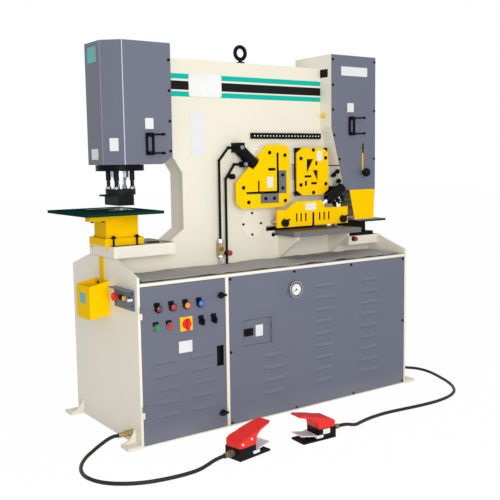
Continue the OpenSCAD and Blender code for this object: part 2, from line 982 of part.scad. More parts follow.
module frame_front_plate() {
  inner = -plate_gap / 2;
  color("Beige") difference() {
    plate_xz(-frame_half, inner) difference() {
      frame_outline();
      frame_bores();
      angle_window(angle_ease);
      bar_window(0);
      rect(flat_left - flat_slot_end, flat_right + flat_slot_end, flat_z - flat_low_blade_h,
        flat_z + flat_slot);
    }
    for (x = [knob_left_x, knob_right_x])
      bar_y(x, clamp_low + knob_up, stud_r + fit, -frame_half - cut, -frame_half + stud_deep + seat);
  }
}
module frame_rear_plate() {
  color("Beige") {
    plate_xz(plate_gap / 2, frame_half) difference() {
      frame_outline();
      frame_bores();
      angle_window(angle_rear_ease);
      bar_window(0);
      rect(flat_left - flat_slot_end, flat_right + flat_slot_end, flat_z - flat_drop,
        flat_z + flat_slot);
    }
    plate_xz(-plate_gap / 2, plate_gap / 2) {
      rect(arm_end, head_right, frame_top - spacer_w, frame_top);
      rect(jaw_r - bottom_spacer_in, frame_right, deck_h, deck_h + spacer_w);
      rect(head_right - bottom_spacer_right, right_in, deck_h, notch_jaw_bottom);
      polygon([[jaw_r - bottom_spacer_in, deck_h], [jaw_r - bottom_spacer_in, jaw_bottom],
        [jaw_r, jaw_bottom], [jaw_r, jaw_top - throat_lip], [throat_x, throat_low],
        [throat_x, throat_high], [throat_x - throat_cut, arm_bottom], [arm_end, arm_bottom],
        [arm_end, arm_bottom + spacer_w], [throat_x, arm_bottom],
        [throat_x + spacer_w, throat_high], [throat_x + spacer_w, throat_low],
        [jaw_r + spacer_w, jaw_bottom], [jaw_r + spacer_w, deck_h]]);
    }
  }
}
module jaw_boxes() {
  color("Gold") {
    difference() {
      block(left_x, jaw_r, -jaw_half, jaw_half, jaw_bottom, jaw_top);
      bar_z(punch_x, 0, slug_hole_r, jaw_bottom - cut, jaw_top + cut);
      bar_z(left_x + jaw_dish_in, -frame_half, jaw_dish_r, jaw_top - jaw_dish_t, jaw_top + cut);
    }
    difference() {
      block(notch_jaw_x, right_x + notch_jaw_out, -notch_jaw_half, notch_jaw_half,
        notch_jaw_bottom, notch_jaw_top);
      notch_hole(notch_jaw_bottom - cut, notch_jaw_top + cut);
    }
  }
}
module notch_hole(z0, z1) {
  half = notch_w / 2 + notch_play;
  block(notch_x - half, notch_x + half, -beam_half - notch_side, beam_half + notch_side, z0, z1);
}

// Punch station
module cover_plan(inset) {
  half = cover_d / 2 - inset;
  polygon([[cover_right - inset, -half], [cover_left + cover_chamfer_x, -half],
    [cover_left + inset, -cover_flat / 2], [cover_left + inset, cover_flat / 2],
    [cover_left + cover_chamfer_x, half], [cover_right - inset, half]]);
}
module stop_rail(x, y, z) {
  for (dx = [0, stop_bar_step])
    block(x + dx, x + dx + stop_bar_w, y - stop_bar_t, y, z, z + stop_bar_h);
  stop_slider(x, y + seat, z, 0);
  block(x, x + stop_bar_step, y - stop_bar_t, y, z, z + stop_block_h);
}
module stop_slider(x, y, z, up) {
  x0 = x + stop_bar_w + seat;
  x1 = x + stop_bar_step - seat;
  z0 = z + up;
  block(x0, x1, y - seat - stop_block_t, y - seat, z0, z0 + stop_block_h);
  translate([(x0 + x1) / 2, y - seat - stop_block_t + stop_arm_r, z0 + stop_block_h / 2])
    rotate([0, 0, stop_arm_turn]) rotate([0, 90, 0]) {
      cylinder(h = stop_arm_l, r = stop_arm_r);
      translate([0, 0, stop_arm_l - stop_knob_l]) cylinder(h = stop_knob_l, r = stop_knob_r);
    }
}
module punch_cover() {
  color("SlateGray") {
    difference() {
      translate([0, 0, cover_low]) linear_extrude(cover_h) cover_plan(0);
      translate([0, 0, cover_low - cut]) linear_extrude(cover_h - sheet_t + cut) cover_plan(sheet_t);
      block(arm_end, cover_right + cut, -frame_half - seat, frame_half + seat,
        cover_low - cut, frame_top + seat);
      plate_xz(-cover_d, cover_d)
        polygon([[cover_right + cut, cover_low - cut], [cover_right + cut,
          cover_low + cover_foot_cut_z],
          [cover_right, cover_low + cover_foot_cut_z], [cover_right - cover_foot_cut_x,
            cover_low],
          [cover_right - cover_foot_cut_x, cover_low - cut]]);
    }
    stop_rail(punch_stop_x, -cover_d / 2, punch_stop_low);
  }
}
module punch_stop() {
  color("Black") stop_slider(punch_stop_x, -cover_d / 2, punch_stop_low, stop_bar_h - stop_block_h);
}
module punch_cylinder() {
  color("DimGray") difference() {
    union() {
      bar_z(punch_x, 0, flange_r, flange_low, cyl_low);
      bar_z(punch_x, 0, barrel_r, cyl_low, cyl_low + barrel_h);
      block(punch_x, arm_end, -frame_half, frame_half, arm_bottom, cyl_low + barrel_h);
    }
    bar_z(punch_x, 0, ram_r + fit, flange_low - cut, cyl_low + bore_h);
  }
}
module punch_ram() {
  color("Silver") {
    bar_z(punch_x, 0, ram_r, ram_low, ram_low + ram_l);
    bar_z(punch_x, 0, nut_r, ram_low - nut_h, ram_low);
    bar_z(punch_x, 0, holder_r, ram_low - nut_h - holder_h, ram_low - nut_h);
    bar_z(punch_x, 0, punch_r, strip_low + tip_up, ram_low - nut_h - holder_h);
  }
}
module stripper() {
  ring_low = strip_low + strip_block_h;
  color("DarkSlateGray") {
    difference() {
      union() {
        block(punch_x - strip_half_x, punch_x + strip_half_x, strip_back - strip_half_y,
          strip_back + strip_half_y, strip_low, ring_low);
        bar_z(punch_x, 0, strip_ring_r, ring_low, strip_top);
        block(punch_x - strip_half_x - strip_tab_l, punch_x, strip_back + strip_half_y - strip_tab_w,
          strip_back + strip_half_y, ring_low - strip_tab_t, ring_low);
      }
      bar_z(punch_x, 0, strip_hole_r, strip_low + strip_floor, strip_top + cut);
      bar_z(punch_x, 0, punch_r + strip_play, strip_low - cut, strip_top);
    }
    for (a = [45 : 90 : 315]) translate([punch_x, 0, 0]) rotate([0, 0, a]) {
      bar_z(post_ring_r, 0, strip_post_r, strip_top, sleeve_low);
      bar_z(post_ring_r, 0, strip_sleeve_r, sleeve_low, flange_low);
    }
  }
}
module punch_table() {
  x0 = table_left + table_corner_r;
  x1 = table_right - table_corner_r;
  color("DarkSlateGray") difference() {
    translate([0, 0, table_low]) linear_extrude(table_t) {
      rect(table_left, table_right, -table_front + table_corner_r, table_back - table_corner_r);
      rect(x0, x1, -table_front, table_back);
      for (x = [x0, x1], y = [-table_front + table_corner_r, table_back - table_corner_r])
        translate([x, y]) circle(r = table_corner_r);
    }
    block(punch_x - die_half_x - die_gap, punch_x + die_half_x + die_gap, -die_half_y - die_gap,
      die_half_y + die_gap, table_low - cut, table_top + cut);
  }
}
module table_bolster() {
  color("Gold") difference() {
    union() {
      block(bolster_x - bolster_flange_x, bolster_x + bolster_flange_x, -bolster_flange_y,
        bolster_flange_y, jaw_top, jaw_top + bolster_flange_h);
      block(bolster_x - bolster_half_x, bolster_x + bolster_half_x, -bolster_half_y, bolster_half_y,
        jaw_top, bolster_top);
      for (m = [0, 1]) mirror([0, m, 0])
        block(bolster_x - (m == 1 ? bolster_arm_l : bolster_back_arm_l), bolster_x, bolster_half_y,
          bolster_half_y + bolster_arm_w, table_low - bolster_arm_h, table_low);
    }
    bar_z(punch_x, 0, slug_hole_r, jaw_top - cut, bolster_top + cut);
  }
}
module punch_die() {
  color("DimGray") difference() {
    union() {
      block(punch_x - die_half_x, punch_x + die_half_x, -die_half_y, die_half_y, bolster_top,
        die_top - die_ring_h);
      bar_z(punch_x, 0, die_ring_r, die_top - die_ring_h, die_top);
    }
    bar_z(punch_x, 0, punch_r + die_play, bolster_top - cut, die_top + cut);
  }
}
module slug_bin() {
  inner_x = left_x - seat;
  outer_x = left_x - bin_out;
  outer_low = bin_low - bin_drop;
  color("Gold") {
    difference() {
      plate_xz(-bin_front, bin_back)
        polygon([[inner_x, bin_low], [outer_x, outer_low], [outer_x, outer_low + bin_mouth],
          [inner_x, bin_low + bin_back_h]]);
      plate_xz(-bin_front + bin_t, bin_back - bin_t)
        polygon([[inner_x - bin_t, bin_low + bin_t], [outer_x + bin_t, outer_low + bin_t],
          [outer_x + bin_t, bin_low + bin_back_h + cut], [inner_x - bin_t,
            bin_low + bin_back_h + cut]]);
    }
    block(inner_x - bin_t, inner_x, -strap_half, strap_half, bin_low + bin_back_h - bin_t,
      bin_low + strap_h);
  }
}

// Shears: pivot, beam, blades, cylinder and rod
module pivot_pin() {
  color("Beige") {
    bar_y(pivot_x, pivot_z, pin_r, -frame_half, frame_half);
    bar_y(pivot_x, pivot_z, pivot_disc_r, -frame_half - pivot_disc_t, -frame_half);
    bar_y(pivot_x, pivot_z, pivot_disc_r, frame_half, frame_half + pivot_disc_t);
  }
}
flat_rest = flat_z + flat_open;
flat_rest_end = flat_rest + (flat_right - flat_left) * flat_rake_share;
module angle_band() {
  inner_x = angle_x - angle_slot - angle_blade_ease;
  inner_z = angle_z + angle_slot + angle_blade_ease;
  rect(angle_x - angle_leg_l - angle_blade_ease, inner_x, inner_z, inner_z + angle_blade_w);
  rect(inner_x - angle_blade_w, inner_x, inner_z, angle_z + angle_leg_h + angle_blade_ease);
}
module angle_holder() {
  e = angle_blade_ease;
  w = angle_slot + angle_win + e;
  x0 = angle_x - angle_leg_l - e + seat;
  x1 = angle_x - angle_slot - e;
  z0 = angle_z + angle_slot + e;
  z1 = angle_z + angle_leg_h + e - seat;
  polygon([[x0, z0], [x1, z0], [x1, z1], [angle_x - w + 2 * seat, z1], [x0, angle_z + w - 2 * seat]]);
}
module shear_beam() {
  neck = notch_x - notch_w / 2 - beam_neck;
  color("DimGray") difference() {
    plate_xz(-beam_half, beam_half) angle_holder();
    plate_xz(-beam_half - cut, -beam_half + blade_front) angle_band();
  }
  color("DimGray") difference() {
    plate_xz(-beam_half, beam_half) difference() {
      union() {
        translate([pivot_x, pivot_z]) circle(r = boss_r);
        translate([shear_x, roller_z]) circle(r = roller_r);
        polygon(concat([[pivot_x, pivot_z - boss_r], [flat_left, flat_rest + flat_blade_h],
          [flat_right, flat_rest_end + flat_blade_h], [neck, beam_low], [beam_nose, beam_low],
          [beam_nose, beam_low + beam_nose_h]],
          [for (p = beam_top_shares)
            [beam_top_left + p.x * beam_top_w, deck_h + beam_top_up + p.y * beam_top_h]]));
      }
      translate([pivot_x, pivot_z]) circle(r = pin_r + fit);
      angle_window(angle_blade_ease);
      bar_window(0);
    }
    plate_xz(-beam_half - cut, -beam_half + blade_front) {
      angle_band();
      bar_window(bar_blade_edge);
    }
  }
}
module beam_blades() {
  color("Silver") {
    plate_xz(-beam_half, -beam_half + blade_front) {
      angle_band();
      difference() {
        bar_window(bar_blade_edge);
        bar_triangles();
      }
      polygon([[flat_left, flat_rest], [flat_right, flat_rest_end],
        [flat_right, flat_rest_end + flat_blade_h], [flat_left, flat_rest + flat_blade_h]]);
    }
    block(notch_x - notch_w / 2, notch_x + notch_w / 2, -beam_half + notch_side, beam_half - notch_side,
      notch_low, beam_low);
  }
}
module shear_cylinder() {
  color("DimGray") difference() {
    union() {
      bar_z(shear_x, 0, shear_cyl_r, shear_cyl_low, shear_cyl_low + shear_cyl_h);
      block(shear_x - lug_half, shear_x + lug_half, -beam_half, beam_half,
        shear_cyl_low + shear_cyl_h, lug_top);
      bar_y(shear_x, lug_z, lug_pin_r, -frame_half, frame_half);
    }
    bar_z(shear_x, 0, rod_r + fit, shear_cyl_low - cut, shear_cyl_low + shear_bore_h);
  }
}
module shear_rod() {
  low = roller_z + roller_r + pad_gap;
  color("Silver") {
    bar_z(shear_x, 0, rod_r, low + pad_h, low + shear_rod_l);
    block(shear_x - pad_half, shear_x + pad_half, -beam_half, beam_half, low, low + pad_h);
  }
}

// Shear stations on the front of the frame
block_front = -frame_half - block_t;
guard_front = block_front - guard_t;
module angle_outline(out) {
  polygon([for (p = angle_guard_shares)
    [angle_guard_left + p.x * angle_guard_w - (p.x < angle_left_share ? out : 0),
      deck_h + angle_guard_up + p.y * angle_guard_h]]);
}
module angle_blade_pockets(y0, y1) {
  block(angle_x, angle_x + angle_fixed_w, y0, y1, angle_z, angle_z + angle_fixed_l);
  block(angle_x - angle_fixed_l, angle_x - angle_ease, y0, y1, angle_z - angle_fixed_w, angle_z);
}
module hold_a(r, from, to) {
  slanted(hold_a_x, -frame_half - hold_a_out, hold_a_z, hold_a_turn, r, from, to);
}
module rear_chute() {
  y0 = frame_half;
  y1 = frame_half + chute_out;
  y = y1 - chute_t - seat;
  step = chute_step - seat;
  block(chute_left, chute_mid, y1 - chute_t, y1, chute_step, chute_top);
  block(chute_left, chute_right, y1 - chute_t, y1, chute_low, step);
  block(chute_left, chute_left + chute_t, y0, y, chute_low, chute_top);
  block(chute_left + chute_t + seat, chute_mid, y0, y, chute_top - chute_t, chute_top);
  block(chute_mid - chute_t, chute_mid, y0, y, chute_step, chute_top - chute_t - seat);
  block(chute_mid - chute_t, chute_right, y0, y, step - chute_t, step);
  block(chute_right - chute_t, chute_right, y0, y, chute_low, step - chute_t - seat);
}
module station_blocks() {
  color("Beige") difference() {
    plate_xz(block_front, -frame_half) difference() {
      angle_outline(angle_block_out);
      rect(angle_x - 2 * angle_leg_l, angle_x, angle_z, angle_z + angle_slot);
      rect(angle_x - angle_slot, angle_x, angle_z, angle_z + 2 * angle_leg_h);
    }
    angle_blade_pockets(guard_front - angle_fixed_out, guard_front - angle_fixed_out + angle_fixed_t);
    hold_a(hold_rod_r + hold_rod_play, hold_a_l, hold_channel_l);
  }
  color("Beige") rear_chute();
  color("Black") {
    plate_xz(block_front, block_front + bar_plate_t) difference() {
      rect(bar_left, bar_right, bar_low, bar_top);
      bar_triangles();
    }
    for (x = [bar_left + bar_post_in, bar_right - bar_post_in - bar_post_w],
      z = [bar_low + bar_post_up, bar_top - bar_post_up - bar_post_h])
      block(x, x + bar_post_w, block_front + bar_plate_t, -frame_half, z, z + bar_post_h);
  }
}
module bar_outline() {
  x1 = bar_left + bar_corner_x;
  x2 = bar_right - bar_corner_x;
  polygon([[x1, bar_top], [x2, bar_top], [bar_right, bar_top - bar_corner_z],
    [bar_right, bar_low + bar_corner_z], [x2, bar_low], [x1, bar_low],
    [bar_left, bar_low + bar_corner_z], [bar_left, bar_top - bar_corner_z]]);
}
module guard_plates() {
  color("Gold") {
    difference() {
      plate_xz(guard_front, block_front) difference() {
        angle_outline(0);
        angle_legs(0);
        rect(angle_short_slot_x - angle_slot / 2, angle_short_slot_x + angle_slot / 2,
          angle_z + angle_slot - cut, angle_z + angle_slot + angle_short_slot_h);
        for (s = [-1, 1]) translate([angle_oval_x + s * angle_oval_l / 2, angle_oval_z])
          circle(r = angle_oval_r);
        rect(angle_oval_x - angle_oval_l / 2, angle_oval_x + angle_oval_l / 2,
          angle_oval_z - angle_oval_r, angle_oval_z + angle_oval_r);
      }
      angle_blade_pockets(guard_front - cut, block_front + cut);
    }
    plate_xz(guard_front, block_front) difference() {
      bar_outline();
      bar_triangles();
    }
    plate_xz(-housing_half, -housing_half + sheet_t)
      polygon([[notch_guard_left, housing_low], [notch_guard_right, housing_low],
        [notch_guard_right - notch_guard_taper, notch_guard_low],
        [notch_guard_left + notch_guard_in, notch_guard_low]]);
  }
}
module fixed_blades() {
  color("Silver") {
    angle_blade_pockets(guard_front - angle_fixed_out, guard_front - angle_fixed_out + angle_fixed_t);
    block(flat_left - flat_slot_end, flat_right + flat_slot_end, -frame_half, -plate_gap / 2 - seat,
      flat_z - flat_low_blade_h, flat_z);
  }
}
hold_b_turn = atan2(clamp_top - clamp_shoulder, clamp_face_w);
module hold_b(r, from, to) {
  slanted(clamp_top_end + clamp_face_w / 2, -frame_half - hold_b_out,
    clamp_low + (clamp_top + clamp_shoulder) / 2, hold_b_turn, r, from, to);
}
module hold_down_cylinders() {
  y = -frame_half - hold_a_out;
  color("Black") {
    difference() {
      union() {
        hold_a(hold_a_r, 0, hold_a_l);
        block(hold_a_x - hold_port_w / 2, hold_a_x + hold_port_w / 2, y - hold_a_r, -frame_half,
          hold_a_z - hold_port_h / 2, hold_a_z + hold_port_h / 2);
        block(hold_port2_x - hold_port2_w / 2, hold_port2_x + hold_port2_w / 2,
          y - hold_port2_w / 2, y + hold_port2_w / 2,
          hold_port2_z - hold_port2_w / 2, hold_port2_z + hold_port2_w / 2);
      }
      hold_a(hold_rod_r + fit, hold_a_l - hold_rod_in - cut, hold_a_l + cut);
    }
    difference() {
      union() {
        hold_b(hold_b_r, hold_b_start, hold_b_start + hold_b_l);
        block(hold_b_foot_x, hold_b_foot_x + hold_b_foot_w, -frame_half - hold_b_out, -frame_half,
          hold_b_foot_z, hold_b_foot_z + hold_b_foot_h);
      }
      hold_b(hold_b_rod_r + fit, hold_b_start - cut, hold_b_start + hold_b_rod_in + cut);
    }
  }
}
module angle_hold_down_rod() {
  color("Silver") hold_a(hold_rod_r, hold_a_l - hold_rod_in, hold_a_l + hold_rod_out);
}
module flat_hold_down_rod() {
  color("Silver") hold_b(hold_b_rod_r, seat, hold_b_start + hold_b_rod_in);
}
module flat_clamp() {
  front = -frame_half - clamp_out - clamp_t;
  span = clamp_right - clamp_left;
  color("Gold") plate_xz(front, front + clamp_t) difference() {
    polygon([[clamp_left, clamp_low], [clamp_right, clamp_low], [clamp_right,
      clamp_low + clamp_shoulder],
      [clamp_top_end + clamp_face_w, clamp_low + clamp_shoulder], [clamp_top_end,
        clamp_low + clamp_top],
      [clamp_top_x, clamp_low + clamp_top], [clamp_ramp_x, clamp_low + clamp_shoulder],
      [clamp_left, clamp_low + clamp_shoulder]]);
    for (share = clamp_slot_shares)
      rect(clamp_left + share * span - clamp_slot_w / 2, clamp_left + share * span + clamp_slot_w / 2,
        clamp_low + clamp_slot_up, clamp_low + clamp_slot_up + clamp_slot_h);
    rect(clamp_left + clamp_mid_share * span - clamp_mid_w / 2,
      clamp_left + clamp_mid_share * span + clamp_mid_w / 2,
      clamp_low - cut, clamp_low + clamp_slot_up + clamp_slot_h);
    for (x = [knob_left_x, knob_right_x]) {
      rect(x - stud_r - seat, x + stud_r + seat, clamp_low + knob_up,
        clamp_low + knob_up + clamp_travel);
      for (up = [0, clamp_travel]) translate([x, clamp_low + knob_up + up]) circle(r = stud_r + seat);
    }
  }
}
module clamp_knob(x) {
  z = clamp_low + knob_up;
  clamp_back = -frame_half - clamp_out;
  face = clamp_back - clamp_t - seat;
  color("Black") {
    bar_y(x, z, stud_r, face, -frame_half + stud_deep);
    bar_y(x, z, stud_collar_r, clamp_back + seat, -frame_half - seat);
    bar_y(x, z, knob_r, face - knob_t, face);
    translate([x, face - knob_t / 2, z]) rotate([0, knob_arm_turn, 0]) cylinder(h = knob_arm_l,
      r = knob_arm_r);
  }
}
module clamp_knob_left() {
  clamp_knob(knob_left_x);
}
module clamp_knob_right() {
  clamp_knob(knob_right_x);
}
module flat_table() {
  front = -frame_half - flat_table_d;
  color("Gray") {
    translate([0, 0, flat_z - flat_table_t]) linear_extrude(flat_table_t)
      polygon([[flat_table_left, -frame_half], [flat_table_right, -frame_half],
        [flat_table_right, front],
        [flat_table_left + flat_table_corner, front], [flat_table_left,
          front + flat_table_corner]]);
    for (x = [gusset_left, gusset_right])
      plate_yz(x - gusset_t / 2, x + gusset_t / 2)
        polygon([[-frame_half, flat_z - flat_table_t], [front + gusset_in, flat_z - flat_table_t],
          [front + gusset_in, flat_z - flat_table_t - gusset_nose], [-frame_half,
            deck_h + seat]]);
  }
}

// Right end: housing, cover, stroke knob and notcher
module housing_outline(inset, drop) {
  x0 = housing_left + inset;
  polygon([[x0, housing_top - inset], [housing_right - inset, housing_top - inset],
    [housing_right - inset, housing_low - drop], [housing_left + housing_foot + inset,
      housing_low - drop],
    [housing_left + housing_foot + inset, housing_low], [x0, housing_knee]]);
}
module shear_housing() {
  color("Beige") difference() {
    plate_xz(-housing_half + sheet_t, housing_half) housing_outline(0, 0);
    plate_xz(-housing_half, housing_half - housing_t) housing_outline(housing_t, cut);
    block(housing_left - cut, shear_x, -frame_half - seat, frame_half + seat,
      housing_low - cut, frame_top + seat);
  }
}
module shear_cover() {
  color("SlateGray") {
    difference() {
      plate_xz(-housing_half, -housing_half + sheet_t) housing_outline(0, 0);
      block(knob_slot_x - knob_slot_w / 2, knob_slot_x + knob_slot_w / 2, -housing_half - cut,
        -housing_half + sheet_t + cut, knob_slot_low, knob_slot_low + knob_slot_h);
    }
    stop_rail(shear_stop_x, -housing_half, shear_stop_low);
  }
}
module shear_stop() {
  color("Black") stop_slider(shear_stop_x, -housing_half, shear_stop_low, stop_bar_h - stop_block_h);
}
module stroke_knob() {
  z = knob_slot_low + knob_slot_w / 2 + cut / 2;
  back = -housing_half + sheet_t + seat;
  color("Black") {
    translate([knob_slot_x, -housing_half - ball_out, z]) sphere(r = ball_r);
    bar_y(knob_slot_x, z, knob_stem_r, -housing_half - ball_out, back);
    block(knob_slot_x - pointer_w / 2, knob_slot_x + pointer_w / 2, back, back + pointer_t,
      z - knob_slot_w, z + pointer_h);
  }
}
module notch_die() {
  table_low_z = notch_die_top;
  half = notch_w / 2 + notch_play + notch_die_wall;
  color("DimGray") difference() {
    union() {
      block(notch_jaw_x, right_x - notch_base_in, -notch_base_half, notch_base_half, notch_jaw_top,
        notch_jaw_top + notch_base_h);
      block(notch_x - half, right_x - notch_die_in, -notch_die_half, notch_die_half,
        notch_jaw_top, table_low_z);
      translate([0, 0, table_low_z]) linear_extrude(notch_table_t)
        polygon([[notch_x - half, -notch_table_half], [notch_table_right - notch_table_corner,
          -notch_table_half],
          [notch_table_right, -notch_table_half + notch_table_corner],
          [notch_table_right, notch_table_half], [notch_x - half, notch_table_half]]);
    }
    notch_hole(notch_jaw_top - cut, table_low_z + notch_table_t + cut);
  }
}

// Lamp, eye, tubes
module lamp_bar() {
  color("WhiteSmoke") block(lamp_left, lamp_right, -frame_half - lamp_t, -frame_half, lamp_low,
    lamp_low + lamp_h);
}
module eye_bolt() {
  color("Silver") {
    bar_z(eye_x, 0, eye_collar_r, frame_top, frame_top + eye_collar_h);
    bar_z(eye_x, 0, eye_wire_r, frame_top, frame_top + eye_rise - eye_ring_r + eye_wire_r / 2);
    translate([eye_x, 0, frame_top + eye_rise]) rotate([90, 0, 0]) rotate_extrude()
      translate([eye_ring_r, 0]) circle(r = eye_wire_r);
  }
}
module tube_run(x, x2, bend, x3, z3) {
  y = -frame_half - tube_out;
  slope = norm([x2 - x, z3 - bend]);
  bar_z(x, y, tube_r, deck_h, bend);
  translate([x, y, bend]) sphere(r = tube_elbow_r);
  slanted(x, y, bend, atan2(x2 - x, z3 - bend), tube_r, 0, slope);
  translate([x2, y, z3]) sphere(r = tube_elbow_r);
  bar_x(y, z3, tube_r, x2, x3);
}
module hydraulic_tubes() {
  y = -frame_half - tube_out;
  color("DarkGoldenrod") {
    tube_run(tube_a_x, tube_a_x2, tube_a_bend, hold_a_x - hold_port_w / 2, hold_a_z);
    tube_run(tube_b_x, tube_b_x2, tube_b_bend, hold_port2_x - hold_port2_w / 2, hold_port2_z);
    block(tube_a_x - tee_w / 2, tube_a_x + tee_w / 2, y - tee_d / 2, y + tee_d / 2,
      deck_h + tee_up, deck_h + tee_up + tee_h);
    bar_z(tube_a_x, y, tube_nut_r, deck_h + tube_nut_up, deck_h + tube_nut_up + tube_nut_h);
    bar_z(tube_b_x, y, tee_cap_r, deck_h + tee_up, deck_h + tee_up + tee_cap_l);
  }
}

// Controls on the door
module door_round(in, up, r) {
  bar_y(door_left + in, door_low + up, r, front_y - button_out - cut, front_y + sheet_t + cut);
}
module control_door() {
  left = door_left + door_louvre_in;
  x0 = door_left + handle_in - handle_w / 2;
  z0 = door_low + handle_up;
  color("SlateGray") difference() {
    union() {
      louvred([left, left + door_louvre_step], [door_louvre_rows, door_louvre_rows]) {
        block(door_left, door_right, front_y, front_y + sheet_t, door_low, door_high);
        for (z = [door_low, door_high - sheet_t])
          block(door_left, door_right, front_y, front_y + door_flange, z, z + sheet_t);
      }
      for (i = [0 : 3])
        bar_y(door_left + lamp_first + i * lamp_step, door_low + lamp_rows_up, lamp_r,
          front_y - lamp_out, front_y);
      for (in = [start_in, stop_in])
        bar_y(door_left + in, door_low + button_up, bezel_r, front_y - bezel_out, front_y);
      block(door_left + switch_in - switch_plate_w / 2, door_left + switch_in + switch_plate_w / 2,
        front_y - switch_plate_t, front_y, door_low + button_up - switch_plate_h / 2,
        door_low + button_up + switch_plate_h / 2);
      for (up = [hinge_low_up, hinge_high_up]) door_hinge_moving(door_low + up);
    }
    block(x0, x0 + handle_w, front_y - cut, front_y + sheet_t + cut, z0, z0 + handle_h);
    for (in = [start_in, stop_in]) door_round(in, button_up, button_r + button_play);
    for (in = [switch_in, selector_a_in, selector_b_in]) door_round(in, button_up, shaft_r + fit);
    for (up = [latch_top_up, latch_low_up]) door_round(latch_in, up, shaft_r + fit);
  }
  color("SlateGray") difference() {
    block(x0 - handle_wall, x0 + handle_w + handle_wall, front_y + sheet_t + seat,
      front_y + handle_deep,
      z0 - handle_wall, z0 + handle_h + handle_wall);
    block(x0, x0 + handle_w, front_y, front_y + handle_deep - handle_wall, z0, z0 + handle_h);
  }
}
module door_hinge_moving(z) {
  low = z + hinge_h + hinge_gap;
  high = z + 2 * hinge_h;
  block(left_in + hinge_pin_r + cut / 2, left_in + hinge_r + hinge_leaf_w, front_y - hinge_out,
    front_y, low, high);
  difference() {
    bar_z(left_in, front_y - hinge_off, hinge_r, low, high);
    bar_z(left_in, front_y - hinge_off, hinge_pin_r + fit, low - cut, high + cut);
  }
}
module push_button(in) {
  bar_y(door_left + in, door_low + button_up, button_r, front_y - button_out, front_y + button_deep);
}
module start_button() {
  color("Green") push_button(start_in);
}
module stop_button() {
  color("Red") push_button(stop_in);
}
module main_switch() {
  x = door_left + switch_in;
  z = door_low + button_up;
  face = front_y - switch_plate_t - seat;
  color("Red") {
    bar_y(x, z, shaft_r, face, front_y + sheet_t + shaft_deep);
    bar_y(x, z, switch_r, face - switch_base_t, face);
    block(x - switch_bar_w / 2, x + switch_bar_w / 2, face - switch_base_t - switch_bar_t,
      face - switch_base_t,
      z - switch_bar_l / 2, z + switch_bar_l / 2);
  }
}
module turn_knob(x, z, r, t, grip_x, grip_z, grip_t) {
  face = front_y - seat;
  bar_y(x, z, shaft_r, face, front_y + sheet_t + shaft_deep);
  bar_y(x, z, r, face - t, face);
  block(x - grip_x / 2, x + grip_x / 2, face - t - grip_t, face - t, z - grip_z / 2, z + grip_z / 2);
}
module selector(in) {
  color("Black") turn_knob(door_left + in, door_low + button_up, selector_r, selector_t,
    selector_grip_w, 2 * selector_r, selector_grip_t);
}
module selector_left() {
  selector(selector_a_in);
}
module selector_right() {
  selector(selector_b_in);
}
module latch(up) {
  color("Silver") turn_knob(door_left + latch_in, door_low + up, latch_r, latch_t,
    latch_wing_l, latch_wing_w, latch_wing_t);
}
module latch_top() {
  latch(latch_top_up);
}
module latch_bottom() {
  latch(latch_low_up);
}

// Gauge, side controls and power pack
module pressure_gauge() {
  x = panel_left + gauge_in;
  z = gauge_z;
  color("Black") {
    bar_y(x, z, gauge_body_r, front_y, front_y + gauge_deep);
    difference() {
      bar_y(x, z, gauge_r, front_y - gauge_out, front_y);
      bar_y(x, z, gauge_r - gauge_rim, front_y - gauge_out - cut, front_y - gauge_out + gauge_rim_t);
    }
  }
}
module side_control_box() {
  y0 = front_y + side_box_front;
  y1 = y0 + side_box_w;
  z0 = deck_h - side_box_up;
  z1 = z0 + side_box_h;
  face = left_x - side_box_t;
  color("SlateGray") {
    difference() {
      block(face, left_x, y0, y1, z0, z1);
      bar_x(stop_y, stop_z, mushroom_stem_r + button_play, face - cut, left_x + cut);
    }
    block(face - side_hood_out, face, y0, y1, z1 - side_hood_t, z1);
    for (in = [side_button_a, side_button_b, side_button_c])
      bar_x(y0 + in, stop_z, side_button_r, face - side_button_out, face);
    bar_x(y0 + side_toggle_in, stop_z, side_toggle_r, face - side_toggle_l, face);
  }
}
module emergency_stop() {
  head = left_x - side_box_t - mushroom_up;
  color("Red") {
    bar_x(stop_y, stop_z, mushroom_r, head - mushroom_t, head);
    bar_x(stop_y, stop_z, mushroom_stem_r, head, left_x + mushroom_deep);
  }
}
module power_pack() {
  floor_top = floor_up + floor_t;
  tank_top = floor_top + tank_h;
  color("DimGray") {
    block(tank_left, tank_right, -tank_front, tank_back, floor_top, tank_top);
    bar_z(motor_x, motor_y, pump_r, tank_top, tank_top + pump_h);
    bar_z(motor_x, motor_y, motor_r, tank_top + pump_h, tank_top + pump_h + motor_h);
    for (i = [0 : motor_fins - 1]) translate([motor_x, motor_y, 0]) rotate([0, 0, i * 360 / motor_fins])
      block(0, motor_r + motor_fin_l, -motor_fin_w / 2, motor_fin_w / 2, tank_top + pump_h,
        tank_top + pump_h + motor_h - motor_fin_l);
    block(valve_x - valve_w / 2, valve_x + valve_w / 2, -tank_front, -tank_front + valve_d, tank_top,
      tank_top + valve_h);
  }
}

